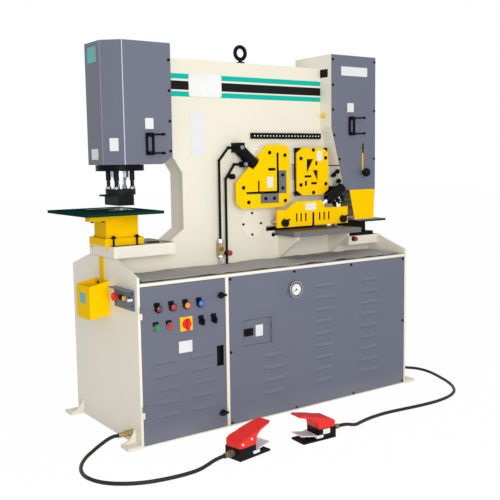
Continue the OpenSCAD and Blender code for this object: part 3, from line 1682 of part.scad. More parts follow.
// Foot pedals, in their own frame: heel at zero, toe along +X
module at_pedal(at, turn) {
  translate(at) rotate([0, 0, turn]) children();
}
module pedal_base() {
  half = pedal_w / 2;
  difference() {
    union() {
      block(0, pedal_l, -half, half, 0, pedal_base_t);
      block(0, pedal_body_l, -half, half, pedal_base_t, pedal_h);
    }
    bar_y(treadle_pivot_x, treadle_pivot_z, treadle_pin_r + fit, -half - cut, half + cut);
  }
}
module pedal_hood() {
  half = pedal_w / 2;
  tip = hood_tip_w / 2;
  intersection() {
    plate_xz(-half, half)
      polygon([for (p = hood_shares) [p.x * hood_tip_x, pedal_h + p.y * hood_tip_x]]);
    linear_extrude(pedal_h + hood_tip_h + cut)
      polygon([[0, -half + pedal_corner], [pedal_corner, -half], [pedal_body_l, -half],
        [hood_tip_x, -tip],
        [hood_tip_x, tip], [pedal_body_l, half], [pedal_corner, half], [0, half - pedal_corner]]);
  }
}
module treadle() {
  inner = pedal_w / 2 + seat;
  outer = inner + treadle_arm_t;
  color("Silver") {
    bar_y(treadle_pivot_x, treadle_pivot_z, treadle_pin_r, -outer, outer);
    for (m = [0, 1]) mirror([0, m, 0])
      plate_xz(inner, outer) {
        translate([treadle_pivot_x, treadle_pivot_z]) circle(r = treadle_arm_h / 2);
        rect(treadle_pivot_x, treadle_start + treadle_arm_h, treadle_pivot_z - treadle_arm_h / 2,
          treadle_pivot_z + treadle_arm_h / 2);
      }
    plate_xz(-outer, outer)
      rect(treadle_start, treadle_start + treadle_arm_h, treadle_pivot_z - treadle_t,
        treadle_pivot_z + treadle_t);
    plate_xz(-treadle_half, treadle_half)
      polygon([[treadle_start, treadle_heel_z - treadle_t], [treadle_end, treadle_toe_z - treadle_t],
        [treadle_end, treadle_toe_z], [treadle_start, treadle_heel_z]]);
  }
}
module pedal_bases() {
  color("Black") {
    at_pedal(pedal_a_at, pedal_a_turn) pedal_base();
    at_pedal(pedal_b_at, pedal_b_turn) pedal_base();
  }
}
module pedal_hoods() {
  color("Red") {
    at_pedal(pedal_a_at, pedal_a_turn) pedal_hood();
    at_pedal(pedal_b_at, pedal_b_turn) pedal_hood();
  }
}
module treadle_left() {
  at_pedal(pedal_a_at, pedal_a_turn) treadle();
}
module treadle_right() {
  at_pedal(pedal_b_at, pedal_b_turn) treadle();
}
module gland(l) {
  bar_x(0, 0, gland_nut_r, -gland_nut_l, 0);
  bar_x(0, 0, gland_r, -l, -gland_nut_l);
}
module cord_glands() {
  color("Goldenrod") {
    translate([left_x, gland_a_y, gland_up]) gland(gland_l);
    translate([right_x, gland_b_y, gland_up]) mirror([1, 0, 0]) gland(gland_l);
    at_pedal(pedal_a_at, pedal_a_turn) translate([0, 0, gland_pedal_z]) gland(gland_pedal_l);
    at_pedal(pedal_b_at, pedal_b_turn) translate([0, 0, gland_pedal_z]) gland(gland_pedal_l);
  }
}

// Cords: one tube swept along the route's own points
function heel(at, turn, l) = [at.x - l * cos(turn), at.y - l * sin(turn), gland_pedal_z];
function along(p, i) = let (d = p[min(i + 1, len(p) - 1)] - p[max(i - 1, 0)]) d / norm(d);
function side_of(t) = let (s = cross(t, [0, 0, 1])) s / norm(s);
function ring(p, i, r) = let (t = along(p, i), s = side_of(t), u = cross(s, t))
  [for (k = [0 : cord_sides - 1])
    p[i] + r * (cos(k * 360 / cord_sides) * s + sin(k * 360 / cord_sides) * u)];
module cord(p) {
  n = len(p);
  rings = [for (i = [0 : n - 1]) each ring(p, i, cord_d / 2)];
  sides = [for (i = [0 : n - 2], k = [0 : cord_sides - 1]) let (m = (k + 1) % cord_sides)
    [i * cord_sides + k, (i + 1) * cord_sides + k, (i + 1) * cord_sides + m, i * cord_sides + m]];
  start = [for (k = [0 : cord_sides - 1]) k];
  end = [for (k = [0 : cord_sides - 1]) n * cord_sides - 1 - k];
  polyhedron(points = rings, faces = concat(sides, [start], [end]));
}
module cord_left() {
  x = left_x - gland_l;
  color("DimGray") cord(concat([[x, gland_a_y, gland_up], [x - cord_lead, gland_a_y, gland_up]],
    cord_left_route * route_unit, [heel(pedal_a_at, pedal_a_turn, gland_pedal_l + cord_lead),
      heel(pedal_a_at, pedal_a_turn, gland_pedal_l)]));
}
module cord_right() {
  x = right_x + gland_l;
  color("DimGray") cord(concat([heel(pedal_b_at, pedal_b_turn, gland_pedal_l),
    heel(pedal_b_at, pedal_b_turn, gland_pedal_l + cord_lead)], cord_right_route * route_unit,
    [[x + cord_lead, gland_b_y, gland_up], [x, gland_b_y, gland_up]]));
}

// Draw what is asked for
side_panels();
cabinet_floor();
deck_plate();
front_panel();
rear_panel();
frame_front_plate();
frame_rear_plate();
jaw_boxes();
punch_cover();
punch_cylinder();
stripper();
punch_table();
table_bolster();
punch_die();
shear_housing();
shear_cover();
shear_cylinder();
pivot_pin();
station_blocks();
guard_plates();
fixed_blades();
hold_down_cylinders();
flat_table();
notch_die();
lamp_bar();
hydraulic_tubes();
eye_bolt();
side_control_box();
pressure_gauge();
power_pack();
pedal_bases();
pedal_hoods();
cord_glands();
cord_left();
cord_right();
punch_ram();
shear_beam();
beam_blades();
shear_rod();
angle_hold_down_rod();
flat_clamp();
flat_hold_down_rod();
control_door();
start_button();
stop_button();
main_switch();
selector_left();
selector_right();
latch_top();
latch_bottom();
hatch();
treadle_left();
treadle_right();
slug_bin();
emergency_stop();
punch_stop();
shear_stop();
stroke_knob();
clamp_knob_left();
clamp_knob_right();
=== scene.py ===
import math
import bpy
from mathutils import Matrix, Vector


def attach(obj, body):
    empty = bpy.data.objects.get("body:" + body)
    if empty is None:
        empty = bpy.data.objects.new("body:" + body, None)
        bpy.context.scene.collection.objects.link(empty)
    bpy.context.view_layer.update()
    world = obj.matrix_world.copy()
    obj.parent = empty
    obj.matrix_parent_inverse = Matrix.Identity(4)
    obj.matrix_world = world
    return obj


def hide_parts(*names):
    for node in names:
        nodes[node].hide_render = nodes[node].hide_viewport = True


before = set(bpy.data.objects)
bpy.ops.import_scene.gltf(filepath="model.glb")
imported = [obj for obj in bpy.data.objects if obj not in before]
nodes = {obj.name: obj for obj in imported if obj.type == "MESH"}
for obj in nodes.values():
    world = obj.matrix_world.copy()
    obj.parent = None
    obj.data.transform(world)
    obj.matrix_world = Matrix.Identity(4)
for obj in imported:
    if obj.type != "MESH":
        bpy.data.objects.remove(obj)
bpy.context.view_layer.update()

scene = bpy.context.scene
scene.view_settings.view_transform = "Standard"
perMetre = 1000
print("frame loaded:", len(nodes), "nodes")

# camera at the photograph's place
shot = {"at": (-2.2141, -3.1284, 1.1781), "yaw": 35.47, "pitch": 6.60, "roll": -0.80,
        "lens": 56.556, "sensor": 36}


def setCamera():
    yaw, pitch, roll = (math.radians(shot[k]) for k in ("yaw", "pitch", "roll"))
    ahead = Vector((math.sin(yaw) * math.cos(pitch), math.cos(yaw) * math.cos(pitch), -math.sin(pitch)))
    right = Vector((math.cos(yaw), -math.sin(yaw), 0))
    up = right.cross(ahead)
    c, s = math.cos(roll), math.sin(roll)
    turned = Matrix((c * right + s * up, c * up - s * right, -ahead)).transposed()
    data = bpy.data.cameras.new("shotCamera")
    data.sensor_width, data.lens = shot["sensor"], shot["lens"]
    cam = bpy.data.objects.new("shotCamera", data)
    scene.collection.objects.link(cam)
    cam.matrix_world = Matrix.Translation(shot["at"]) @ turned.to_4x4()
    scene.camera = cam


setCamera()
print("camera set")


# shader maths: a socket with operators
class Wire:
    def __init__(self, tree, socket):
        self.tree, self.socket = tree, socket

    def make(self, kind, settings=None, sockets=None, out=0):
        node = self.tree.nodes.new(kind)
        for key, value in (settings or {}).items():
            setattr(node, key, value)
        for key, value in (sockets or {}).items():
            if isinstance(value, Wire):
                self.tree.links.new(value.socket, node.inputs[key])
            else:
                node.inputs[key].default_value = value
        return Wire(self.tree, node.outputs[out])

    def maths(self, operation, a, b):
        return self.make("ShaderNodeMath", {"operation": operation}, {0: a, 1: b})

    def __add__(self, other):
        return self.maths("ADD", self, other)

    def __radd__(self, other):
        return self.maths("ADD", other, self)

    def __sub__(self, other):
        return self.maths("SUBTRACT", self, other)

    def __rsub__(self, other):
        return self.maths("SUBTRACT", other, self)

    def __mul__(self, other):
        return self.maths("MULTIPLY", self, other)

    def __rmul__(self, other):
        return self.maths("MULTIPLY", other, self)

    def __gt__(self, other):
        return self.maths("GREATER_THAN", self, other)

    def __lt__(self, other):
        return self.maths("LESS_THAN", self, other)

    def blend(self, low, high):
        return self.make("ShaderNodeMix", {"data_type": "RGBA"}, {0: self, 6: low, 7: high}, 2)

    def between(self, low, high):
        return (self > low) * (self < high)

    def into(self, shader, name):
        self.tree.links.new(self.socket, shader.inputs[name])


def rgba(colour, gain=1.0):
    return tuple(min(1.0, c * gain) for c in colour) + (1.0,)


def newFinish(name):
    made = bpy.data.materials.new(name)
    made.use_nodes = True
    tree = made.node_tree
    shader = tree.nodes["Principled BSDF"]
    place = Wire(tree, tree.nodes.new("ShaderNodeTexCoord").outputs["Object"])
    return made, tree, shader, place


def grainOf(place, scale, detail, stretch=(1, 1, 1)):
    turned = place.make("ShaderNodeMapping", None, {"Vector": place, "Scale": stretch})
    return place.make("ShaderNodeTexNoise", None, {"Vector": turned, "Scale": scale, "Detail": detail})


# roughness that follows a noise, which averages a half
def varied(rough, grain, spread):
    return rough + (grain - 0.5) * spread


bevelSamples = 4


def roundedBump(place, height, strength, distance, edge):
    soft = place.make("ShaderNodeBevel", {"samples": bevelSamples}, {"Radius": edge})
    return place.make("ShaderNodeBump", None,
                      {"Strength": strength, "Distance": distance, "Height": height, "Normal": soft})


# painted sheet and plate: tone drift, orange peel, dust near the floor
paintLook = {"broad": (3.5, 4), "fine": (260, 2), "lift": 0.6, "spread": 0.14, "depth": 0.0006,
             "edge": 0.0015, "dustTop": 0.09, "dustGain": 3.0, "dust": (0.42, 0.40, 0.36), "dustRough": 0.5}


def paintFinish(name, colour, rough=0.42, peel=0.05, drift=0.05, bands=(), shine=0.5):
    made, tree, shader, place = newFinish(name)
    shader.inputs["Specular IOR Level"].default_value = shine
    broad = grainOf(place, *paintLook["broad"])
    fine = grainOf(place, *paintLook["fine"])
    tone = broad.blend(rgba(colour, 1 - drift), rgba(colour, 1 + drift * paintLook["lift"]))
    x, y, z = (place.make("ShaderNodeSeparateXYZ", None, {0: place}, i) for i in range(3))
    dust = (z < paintLook["dustTop"]) * (paintLook["dustTop"] - z) * paintLook["dustGain"] * broad
    tone = dust.blend(tone, rgba(paintLook["dust"]))
    # bands: stripes of another tone, and painted highlights along the cover's folds
    for bandTone, xRange, yMost, zRange in bands:
        mask = x.between(*xRange) * (y < yMost) * z.between(*zRange)
        tone = mask.blend(tone, rgba(bandTone))
    tone.into(shader, "Base Color")
    (varied(rough, broad, paintLook["spread"]) + dust * paintLook["dustRough"]).into(shader, "Roughness")
    roundedBump(place, fine, peel, paintLook["depth"], paintLook["edge"]).into(shader, "Normal")
    return made


# ground and brushed steel: fine lines along one axis
steelLook = {"streak": (18, 4), "patch": (9, 3), "tones": (0.86, 1.06), "streakSpread": 0.22,
             "patchSpread": 0.12, "relief": 0.08, "depth": 0.0005, "edge": 0.001}


def steelFinish(name, colour, rough=0.3, lines=(1, 40, 40), metal=1.0):
    made, tree, shader, place = newFinish(name)
    streak = grainOf(place, *steelLook["streak"], lines)
    patch = grainOf(place, *steelLook["patch"])
    streak.blend(*(rgba(colour, gain) for gain in steelLook["tones"])).into(shader, "Base Color")
    lined = varied(rough, streak, steelLook["streakSpread"])
    varied(lined, patch, steelLook["patchSpread"]).into(shader, "Roughness")
    bump = roundedBump(place, streak, steelLook["relief"], steelLook["depth"], steelLook["edge"])
    bump.into(shader, "Normal")
    shader.inputs["Metallic"].default_value = metal
    return made


# moulded plastic: fine spark-eroded grain
plasticLook = {"fine": (900, 2), "broad": (14, 3), "tones": (0.92, 1.05), "spread": 0.12,
               "depth": 0.0004, "edge": 0.0012}


def plasticFinish(name, colour, rough=0.35, grain=0.06, coat=0.0, shine=0.5):
    made, tree, shader, place = newFinish(name)
    shader.inputs["Specular IOR Level"].default_value = shine
    fine = grainOf(place, *plasticLook["fine"])
    broad = grainOf(place, *plasticLook["broad"])
    broad.blend(*(rgba(colour, gain) for gain in plasticLook["tones"])).into(shader, "Base Color")
    varied(rough, broad, plasticLook["spread"]).into(shader, "Roughness")
    roundedBump(place, fine, grain, plasticLook["depth"], plasticLook["edge"]).into(shader, "Normal")
    shader.inputs["Coat Weight"].default_value = coat
    return made


# deck covering: fine studs in rows
matLook = {"studs": 210, "jitter": 0.15, "broad": (5, 5), "tones": (0.86, 1.1), "rough": 0.78,
           "spread": 0.2, "relief": 0.35, "depth": 0.0008, "edge": 0.001}


def matFinish(name, colour):
    made, tree, shader, place = newFinish(name)
    cells = place.make("ShaderNodeTexVoronoi", {"feature": "F1"},
                       {"Vector": place, "Scale": matLook["studs"], "Randomness": matLook["jitter"]})
    broad = grainOf(place, *matLook["broad"])
    broad.blend(*(rgba(colour, gain) for gain in matLook["tones"])).into(shader, "Base Color")
    varied(matLook["rough"], broad, matLook["spread"]).into(shader, "Roughness")
    roundedBump(place, cells, matLook["relief"], matLook["depth"], matLook["edge"]).into(shader, "Normal")
    return made


# lamp lens: coloured, slightly lit
lensLook = {"ribs": 160.0, "valley": 0.8, "rough": 0.12, "spread": 0.08, "coat": 0.6}


def lensFinish(name, colour, glow):
    made, tree, shader, place = newFinish(name)
    ribs = place.make("ShaderNodeTexWave", {"bands_direction": "X"},
                      {"Vector": place, "Scale": lensLook["ribs"]})
    ribs.blend(rgba(colour, lensLook["valley"]), rgba(colour)).into(shader, "Base Color")
    (lensLook["rough"] + ribs * lensLook["spread"]).into(shader, "Roughness")
    shader.inputs["Emission Color"].default_value = rgba(colour)
    shader.inputs["Emission Strength"].default_value = glow
    shader.inputs["Coat Weight"].default_value = lensLook["coat"]
    return made


cream, greyTone = (0.80, 0.76, 0.645), (0.134, 0.143, 0.189)
teal, ink, punchGreen = (0.0, 0.44, 0.35), (0.006, 0.005, 0.006), (0.004, 0.075, 0.05)
blackTone = (0.006, 0.006, 0.007)

# bands of another tone in a paint, in metres: tone, x range, highest y, z range
frameStripes = [(tone, (-0.50, 0.425), -0.0545, rise) for tone, rise in (
    (teal, (1.538, 1.561)), (ink, (1.490, 1.529)), (teal, (1.460, 1.483)))]
# painted highlights: pale lines along the punch cover's two folds
foldHighlights = [(tone, along, front, (1.16, 1.68)) for tone, along, front in (
    ((0.52, 0.53, 0.58), (-0.7197, -0.7160), -0.1365),
    ((0.24, 0.25, 0.29), (-0.7890, -0.7860), -0.0712))]
notchRows = [(tone, (0.5, 0.8), 0.1, rise) for tone, rise in (
    (ink, (0.99, 1.1)), (punchGreen, (0.961, 0.981)), (punchGreen, (0.934, 0.954)),
    (punchGreen, (0.909, 0.922)))]

finishes = {
    "cream": paintFinish("creamPaint", cream),
    # a darker copy of the cream: painted shade on the frame's front plate, with teal and ink stripes printed
    # on it
    "stripedShadedCream": paintFinish("stripedShadedCreamPaint", (0.765, 0.725, 0.605), shine=0.1, bands=frameStripes),
    "grey": paintFinish("greyPaint", greyTone, shine=0.25),
    # lighter copies of the grey: painted highlights on the louvre slopes and on their left ends
    "louvreHighlight": paintFinish("louvreHighlightPaint", (0.144, 0.153, 0.202), rough=0.4, shine=0.3),
    "louvreEndHighlight": paintFinish("louvreEndHighlightPaint", (0.29, 0.30, 0.36), rough=0.4, shine=0.3),
    # the cover's grey, with painted highlights along its folds
    "foldLitGrey": paintFinish("foldLitCoverPaint", greyTone, shine=0.25, bands=foldHighlights),
    "deck": matFinish("deckCovering", (0.30, 0.291, 0.283)),
    "tableGrey": steelFinish("tableGrey", (0.145, 0.144, 0.16), rough=0.45, lines=(2, 30, 30), metal=0.35),
    "yellow": paintFinish("yellowPaint", (0.95, 0.565, 0.0), peel=0.04, shine=0.02),
    "black": paintFinish("blackPaint", blackTone, rough=0.34, drift=0.15, shine=0.05),
    "darkTable": paintFinish("darkGreenPaint", (0.006, 0.034, 0.029), rough=0.5, drift=0.2, shine=0.0),
    "stripperBlack": paintFinish("stripperPaint", (0.012, 0.016, 0.017), rough=0.4, drift=0.3, shine=0.06),
    "oiledPlate": paintFinish("oiledPlate", (0.085, 0.074, 0.028), rough=0.4, peel=0.04, drift=0.6,
                              shine=0.12),
    "steel": steelFinish("groundSteel", (0.56, 0.565, 0.575)),
    "dullSteel": steelFinish("dullSteel", (0.30, 0.31, 0.33), rough=0.42),
    "chrome": steelFinish("chromedRod", (0.78, 0.79, 0.80), rough=0.1, lines=(30, 30, 1)),
    "brass": steelFinish("turnedBrass", (0.44, 0.33, 0.14), rough=0.36, lines=(30, 3, 30), metal=0.6),
    "bronze": steelFinish("darkBronze", (0.19, 0.142, 0.075), rough=0.4, lines=(30, 3, 30), metal=0.5),
    "tableTopBrown": steelFinish("brownTableTop", (0.21, 0.15, 0.075), rough=0.5, lines=(2, 30, 30), metal=0.1),
    "bezelSteel": steelFinish("gaugeBezel", (0.12, 0.118, 0.116), rough=0.32, lines=(30, 1, 30), metal=0.5),
    "bladeSteel": steelFinish("bladeSteel", (0.17, 0.175, 0.19), rough=0.45),
    "treadle": steelFinish("treadlePlate", (0.76, 0.77, 0.79), rough=0.4, metal=0.1),
    "blackPlastic": plasticFinish("blackPlastic", blackTone, rough=0.36, shine=0.08),
    "red": plasticFinish("redPlastic", (0.76, 0.024, 0.018), rough=0.34, grain=0.03, coat=0.05, shine=0.2),
    "knobRed": plasticFinish("knobRed", (0.30, 0.02, 0.016), grain=0.03),
    "tealPlate": plasticFinish("tealPlate", (0.09, 0.40, 0.37), rough=0.4, grain=0.03),
    "green": plasticFinish("greenPlastic", (0.01, 0.24, 0.07), rough=0.3, grain=0.03, coat=0.3),
    "blue": plasticFinish("bluePlastic", (0.01, 0.09, 0.42), rough=0.3, grain=0.03, coat=0.3),
    "yellowPlastic": plasticFinish("yellowPlastic", (0.86, 0.52, 0.0), rough=0.3, grain=0.03, coat=0.3),
    "white": plasticFinish("whitePlastic", (0.78, 0.78, 0.76), grain=0.03),
    "plateWhite": plasticFinish("plateWhite", (0.72, 0.72, 0.73), rough=0.4, grain=0.03),
    "lampDarkRed": lensFinish("lampDarkRed", (0.11, 0.006, 0.008), glow=0.1),
    "lampRed": lensFinish("lampRed", (0.34, 0.006, 0.022), glow=0.1),
    "lampOrange": lensFinish("lampOrange", (0.78, 0.22, 0.008), glow=0.15),
    "lampBlue": lensFinish("lampBlue", (0.008, 0.13, 0.62), glow=0.15),
    "lampWhite": lensFinish("lampWhite", (0.80, 0.80, 0.78), glow=0.3),
    "rubber": plasticFinish("cordRubber", (0.009, 0.009, 0.009), rough=0.5, grain=0.15, shine=0.25),
    # painted shade: dark brown for the walls of the clamp slots
    "slotShadeBrown": paintFinish("slotShadow", (0.085, 0.05, 0.004), rough=0.6, shine=0.0),
    "notchPunch": paintFinish("notchPunchPaint", (0.30, 0.13, 0.012), rough=0.4, bands=notchRows),
    "pack": paintFinish("powerPackPaint", (0.10, 0.105, 0.11), rough=0.5),
}
print("finishes made:", len(finishes))

nodeFinish = {
    "cream": ["side_panels", "cabinet_floor", "frame_rear_plate", "shear_housing", "pivot_pin",
              "station_blocks", "jaw_boxes"],
    "stripedShadedCream": ["frame_front_plate"],
    "foldLitGrey": ["punch_cover"],
    "grey": ["front_panel", "rear_panel", "shear_cover", "control_door", "hatch", "side_control_box"],
    "deck": ["deck_plate"],
    "tableGrey": ["flat_table"],
    "yellow": ["table_bolster", "guard_plates", "flat_clamp", "slug_bin"],
    "black": ["punch_cylinder", "shear_cylinder", "shear_beam", "hold_down_cylinders", "notch_die",
              "eye_bolt", "lamp_bar", "punch_stop", "shear_stop", "hydraulic_tubes", "latch_top",
              "latch_bottom"],
    "darkTable": ["punch_table"],
    "stripperBlack": ["stripper"],
    "steel": ["punch_ram"],
    "treadle": ["treadle_left", "treadle_right"],
    "dullSteel": ["punch_die", "beam_blades"],
    "bladeSteel": ["fixed_blades"],
    "chrome": ["shear_rod", "angle_hold_down_rod", "flat_hold_down_rod"],
    "brass": ["cord_glands"],
    "blackPlastic": ["pressure_gauge", "pedal_bases", "selector_left", "selector_right", "stroke_knob",
                     "clamp_knob_left", "clamp_knob_right"],
    "red": ["pedal_hoods", "stop_button", "main_switch", "emergency_stop"],
    "green": ["start_button"],
    "rubber": ["cord_left", "cord_right"],
    "pack": ["power_pack"],
}
for finish, names in nodeFinish.items():
    for name in names:
        mesh = nodes[name].data
        mesh.materials.clear()
        mesh.materials.append(finishes[finish])

# ways that a face can look, by its normal
slant = {"square": 0.9, "dead": 0.99, "leaning": 0.3, "upright": 0.1, "louvre": 0.37, "near": 0.03}
looks = {
    "anywhere": lambda n: True,
    "front": lambda n: n.y < -slant["square"],
    "up": lambda n: n.z > slant["square"],
    "left": lambda n: n.x < -slant["dead"],
    "sideways": lambda n: abs(n.x) > slant["square"],
    "leaning": lambda n: abs(n.x) > slant["leaning"],
    "upright": lambda n: abs(n.z) < slant["upright"],
    "outward": lambda n: min(n.y, n.z, -abs(n.x)) < -slant["square"],
    "louvre": lambda n: n.y < -slant["square"] and abs(n.z - slant["louvre"]) < slant["near"],
}
far = 9
everywhere = (-far, far)

# a second finish on faces of a CAD node, by the box or disc in metres that their middles lie in
patches = {
    "barBlock": (["station_blocks"], "black", {"x": (0.21, far), "y": (-far, -0.0829)}),
    # painted shade: the angle block's front faces black, left of the guard
    "angleBlockShade": (["station_blocks"], "black", {"looking": "front", "x": (-far, 0.2), "y": (-far, -0.09)}),
    # painted shade: the rear chute's front faces black, seen through the slots
    "rearChuteShade": (["station_blocks"], "black", {"looking": "front", "y": (0.1, far)}),
    # painted shade: the side walls of the guard's slot black
    "shadedSlotWalls": (["station_blocks", "guard_plates", "frame_front_plate"], "black",
                  {"looking": "sideways", "x": (0.085, 0.135), "z": (0.985, 1.27)}),
    "bladeFoot": (["fixed_blades"], "cream", {"looking": "outward", "z": (-far, 0.8272)}),
    "notchPunch": (["beam_blades"], "notchPunch", {"x": (0.57, far), "z": (-far, 1.02)}),
    "jawTop": (["jaw_boxes"], "oiledPlate", {"looking": "up", "x": (-far, -0.45), "z": (0.805, far)}),
    "jawDish": (["jaw_boxes"], "darkTable", {"looking": "upright", "z": (0.811, far),
                                             "disc": (-0.543, 0, 0.04796)}),
    "gaugeCase": (["pressure_gauge"], "steel", {"y": (-far, -0.3225)}),
    "hatchCatch": (["hatch"], "blackPlastic", {"x": (-far, -0.2), "y": (-far, -0.3215)}),
    "strokeRod": (["stroke_knob"], "yellow", {"y": (-0.150, far), "z": (1.119, far)}),
    "deckBody": (["deck_plate"], "cream", {"z": (-far, 0.6825)}),
    "tableBody": (["flat_table"], "cream", {"z": (-far, 0.8036)}),
    # a brownish tone on the flat table's top
    "tableTop": (["flat_table"], "tableTopBrown", {"looking": "up", "z": (0.8100, far)}),
    # painted shade: dark brown on the clamp slots' walls, black on the middle slot's walls
    "clampSlotShade": (["flat_clamp"], "slotShadeBrown", {"looking": "leaning", "x": (0.09, 0.51),
                                                 "z": (-far, 0.925)}),
    "clampMiddleShade": (["flat_clamp"], "black", {"looking": "leaning", "x": (0.2879, 0.3029),
                                              "z": (-far, 0.925)}),
    "pedalGlands": (["cord_glands"], "bronze", {"y": (-far, -0.5)}),
    "punchCoverFront": (["punch_cover"], "black", {"y": (-far, -0.1405)}),
    "shearCoverFront": (["shear_cover"], "black", {"y": (-far, -0.1425)}),
    "lampBezels": (["control_door"], "blackPlastic", {"x": (-0.702, far), "y": (-far, -0.3211),
                                                      "z": (0.555, 0.591)}),
    "switchPlate": (["control_door"], "yellowPlastic", {"x": (-0.585, far), "y": (-far, -0.3211),
                                                        "z": (0.45, 0.54)}),
    "latchRecess": (["control_door"], "blackPlastic", {"x": (-0.41, -0.35), "y": (-0.3179, far),
                                                       "z": (0.27, 0.39)}),
    "tubeEnds": (["hydraulic_tubes"], "steel", {"x": (-far, -0.1925), "z": (-far, 0.804)}),
    "tubeTee": (["hydraulic_tubes"], "brass", {"x": (-far, -0.1925), "z": (0.7335, 0.7935)}),
    # painted highlights: lighter grey on the louvre slopes, and on the louvres' left ends
    "litLouvreHoods": (["front_panel"], "louvreHighlight", {"looking": "louvre"}),
    "litLouvreEnds": (["front_panel", "control_door"], "louvreEndHighlight",
                   {"looking": "left", "y": (-0.3234, -0.3226), "z": (-far, 0.6)}),
    "clampScrews": (["clamp_knob_left", "clamp_knob_right"], "steel", {"y": (-0.135, far)}),
}
boxButtons = {"blackPlastic": (-0.2082, -0.1878), "yellowPlastic": (-0.2392, -0.2188),
              "blue": (-0.2752, -0.2548), "white": (-0.2935, -0.2805)}
for finish, across in boxButtons.items():
    patches[finish + "Button"] = (["side_control_box"], finish,
                                  {"x": (-far, -0.7812), "y": across, "z": (-far, 0.63)})


def repaint(name, finish, looking="anywhere", x=everywhere, y=everywhere, z=everywhere, disc=(0, 0, far)):
    mesh = nodes[name].data
    mesh.materials.append(finishes[finish])
    index = len(mesh.materials) - 1
    for face in mesh.polygons:
        middle = face.center
        boxed = all(low < v < high for v, (low, high) in zip(middle, (x, y, z)))
        ringed = math.hypot(middle.x - disc[0], middle.y - disc[1]) < disc[2]
        if boxed and ringed and looks[looking](face.normal):
            face.material_index = index


for names, finish, where in patches.values():
    for name in names:
        repaint(name, finish, **where)
print("CAD nodes finished")

# cords: routes in mm, where the CAD solids lie, and a diameter in metres
cords = {
    "diameter": 0.015, "bevelSteps": 4, "curveSteps": 6,
    "left": [(-840, -239, 46), (-865, -239, 46), (-890, -239, 39), (-914, -239, 28), (-938, -241, 17),
             (-964, -253, 9.5), (-996, -280, 8), (-1027, -315, 8), (-1053, -352, 8), (-1071, -387, 8),
             (-1083, -424, 8), (-1088, -462, 8), (-1083, -502, 8), (-1069, -541, 8), (-1045, -577, 8),
             (-1015, -606, 8), (-977, -632, 8), (-929, -654, 8), (-875, -668, 8), (-815, -676, 8),
             (-760, -677, 8), (-712, -674, 10), (-672, -668, 17), (-642, -664, 24),
             (-613.04, -659.55, 27), (-588.38, -655.43, 27)],
    "right": [(-7.06, -666.36, 27), (17.9, -667.66, 27), (46, -669, 24), (74, -667, 16), (105, -661, 9),
              (150, -649, 8), (205, -637, 8), (260, -631, 8), (320, -629, 8), (380, -633, 8),
              (440, -640, 8), (500, -647, 8), (560, -652, 8), (620, -654, 8), (680, -650, 8),
              (740, -639, 8), (795, -619, 8), (845, -588, 8), (885, -548, 8), (920, -500, 8),
              (948, -448, 8), (972, -392, 8), (994, -335, 8), (1010, -280, 8), (1016, -228, 8),
              (1008, -180, 8), (984, -142, 8), (950, -117, 13), (920, -104, 26), (893, -98, 40),
              (865, -97, 46), (840, -97, 46)],
}


def layCord(name, route, node):
    curve = bpy.data.curves.new(name, "CURVE")
    curve.dimensions = "3D"
    spline = curve.splines.new("BEZIER")
    spline.bezier_points.add(len(route) - 1)
    for knot, spot in zip(spline.bezier_points, route):
        knot.co = tuple(v / perMetre for v in spot)
        knot.handle_left_type = knot.handle_right_type = "AUTO"
    curve.bevel_depth = cords["diameter"] / 2
    curve.bevel_resolution, curve.resolution_u = cords["bevelSteps"], cords["curveSteps"]
    curve.use_fill_caps = True
    piece = bpy.data.objects.new(name, curve)
    scene.collection.objects.link(piece)
    curve.materials.append(finishes["rubber"])
    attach(piece, "machine")
    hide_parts(node)
    length = sum((Vector(a) - Vector(b)).length for a, b in zip(route, route[1:])) / perMetre
    tuple(v / perMetre for v in route[0])
    print(name, "is", round(length, 3), "m long")


layCord("leftCord", cords["left"], "cord_left")
layCord("rightCord", cords["right"], "cord_right")
print("cords laid")

# how a small piece stands on a face: its own x, y and z in the frame
facing = {"front": ((1, 0, 0), (0, 0, 1), (0, -1, 0)), "back": ((-1, 0, 0), (0, 0, 1), (0, 1, 0)),
          "left": ((0, -1, 0), (0, 0, 1), (-1, 0, 0)), "right": ((0, 1, 0), (0, 0, 1), (1, 0, 0)),
          "top": ((1, 0, 0), (0, 1, 0), (0, 0, 1)), "under": ((1, 0, 0), (0, -1, 0), (0, 0, -1)),
          "coverFold": ((0.7224, -0.6915, 0), (0, 0, 1), (-0.6915, -0.7224, 0)),
          "housingSlope": ((0, -1, 0), (-0.2659, 0, 0.9640), (-0.9640, 0, -0.2659)),
          "holdUnder": ((0, 1, 0), (0.8651, 0, 0.5015), (0.5015, 0, -0.8651)),
          "pedalLeft": ((0.9863, 0.1650, 0), (0, 0, 1), (0.1650, -0.9863, 0)),
          "pedalRight": ((0.9986, -0.0523, 0), (0, 0, 1), (-0.0523, -0.9986, 0)),
          "heelLeft": ((0.1649, -0.9863, 0), (0, 0, 1), (-0.9863, -0.1649, 0)),
          "heelRight": ((0.0521, 0.9986, 0), (0, 0, 1), (0.9986, -0.0521, 0))}

# hand tools for the small pieces, whose sizes are in mm; the line of sight is in metres
tools = {"smooth": 35, "sight": 3, "corners": 4, "nearTop": 0.99, "nearRim": 0.98, "sunk": 0.25,
         "chamfer": 0.2}


def freshStart():
    if bpy.context.mode != "OBJECT":
        bpy.ops.object.mode_set(mode="OBJECT")
    bpy.ops.object.select_all(action="DESELECT")


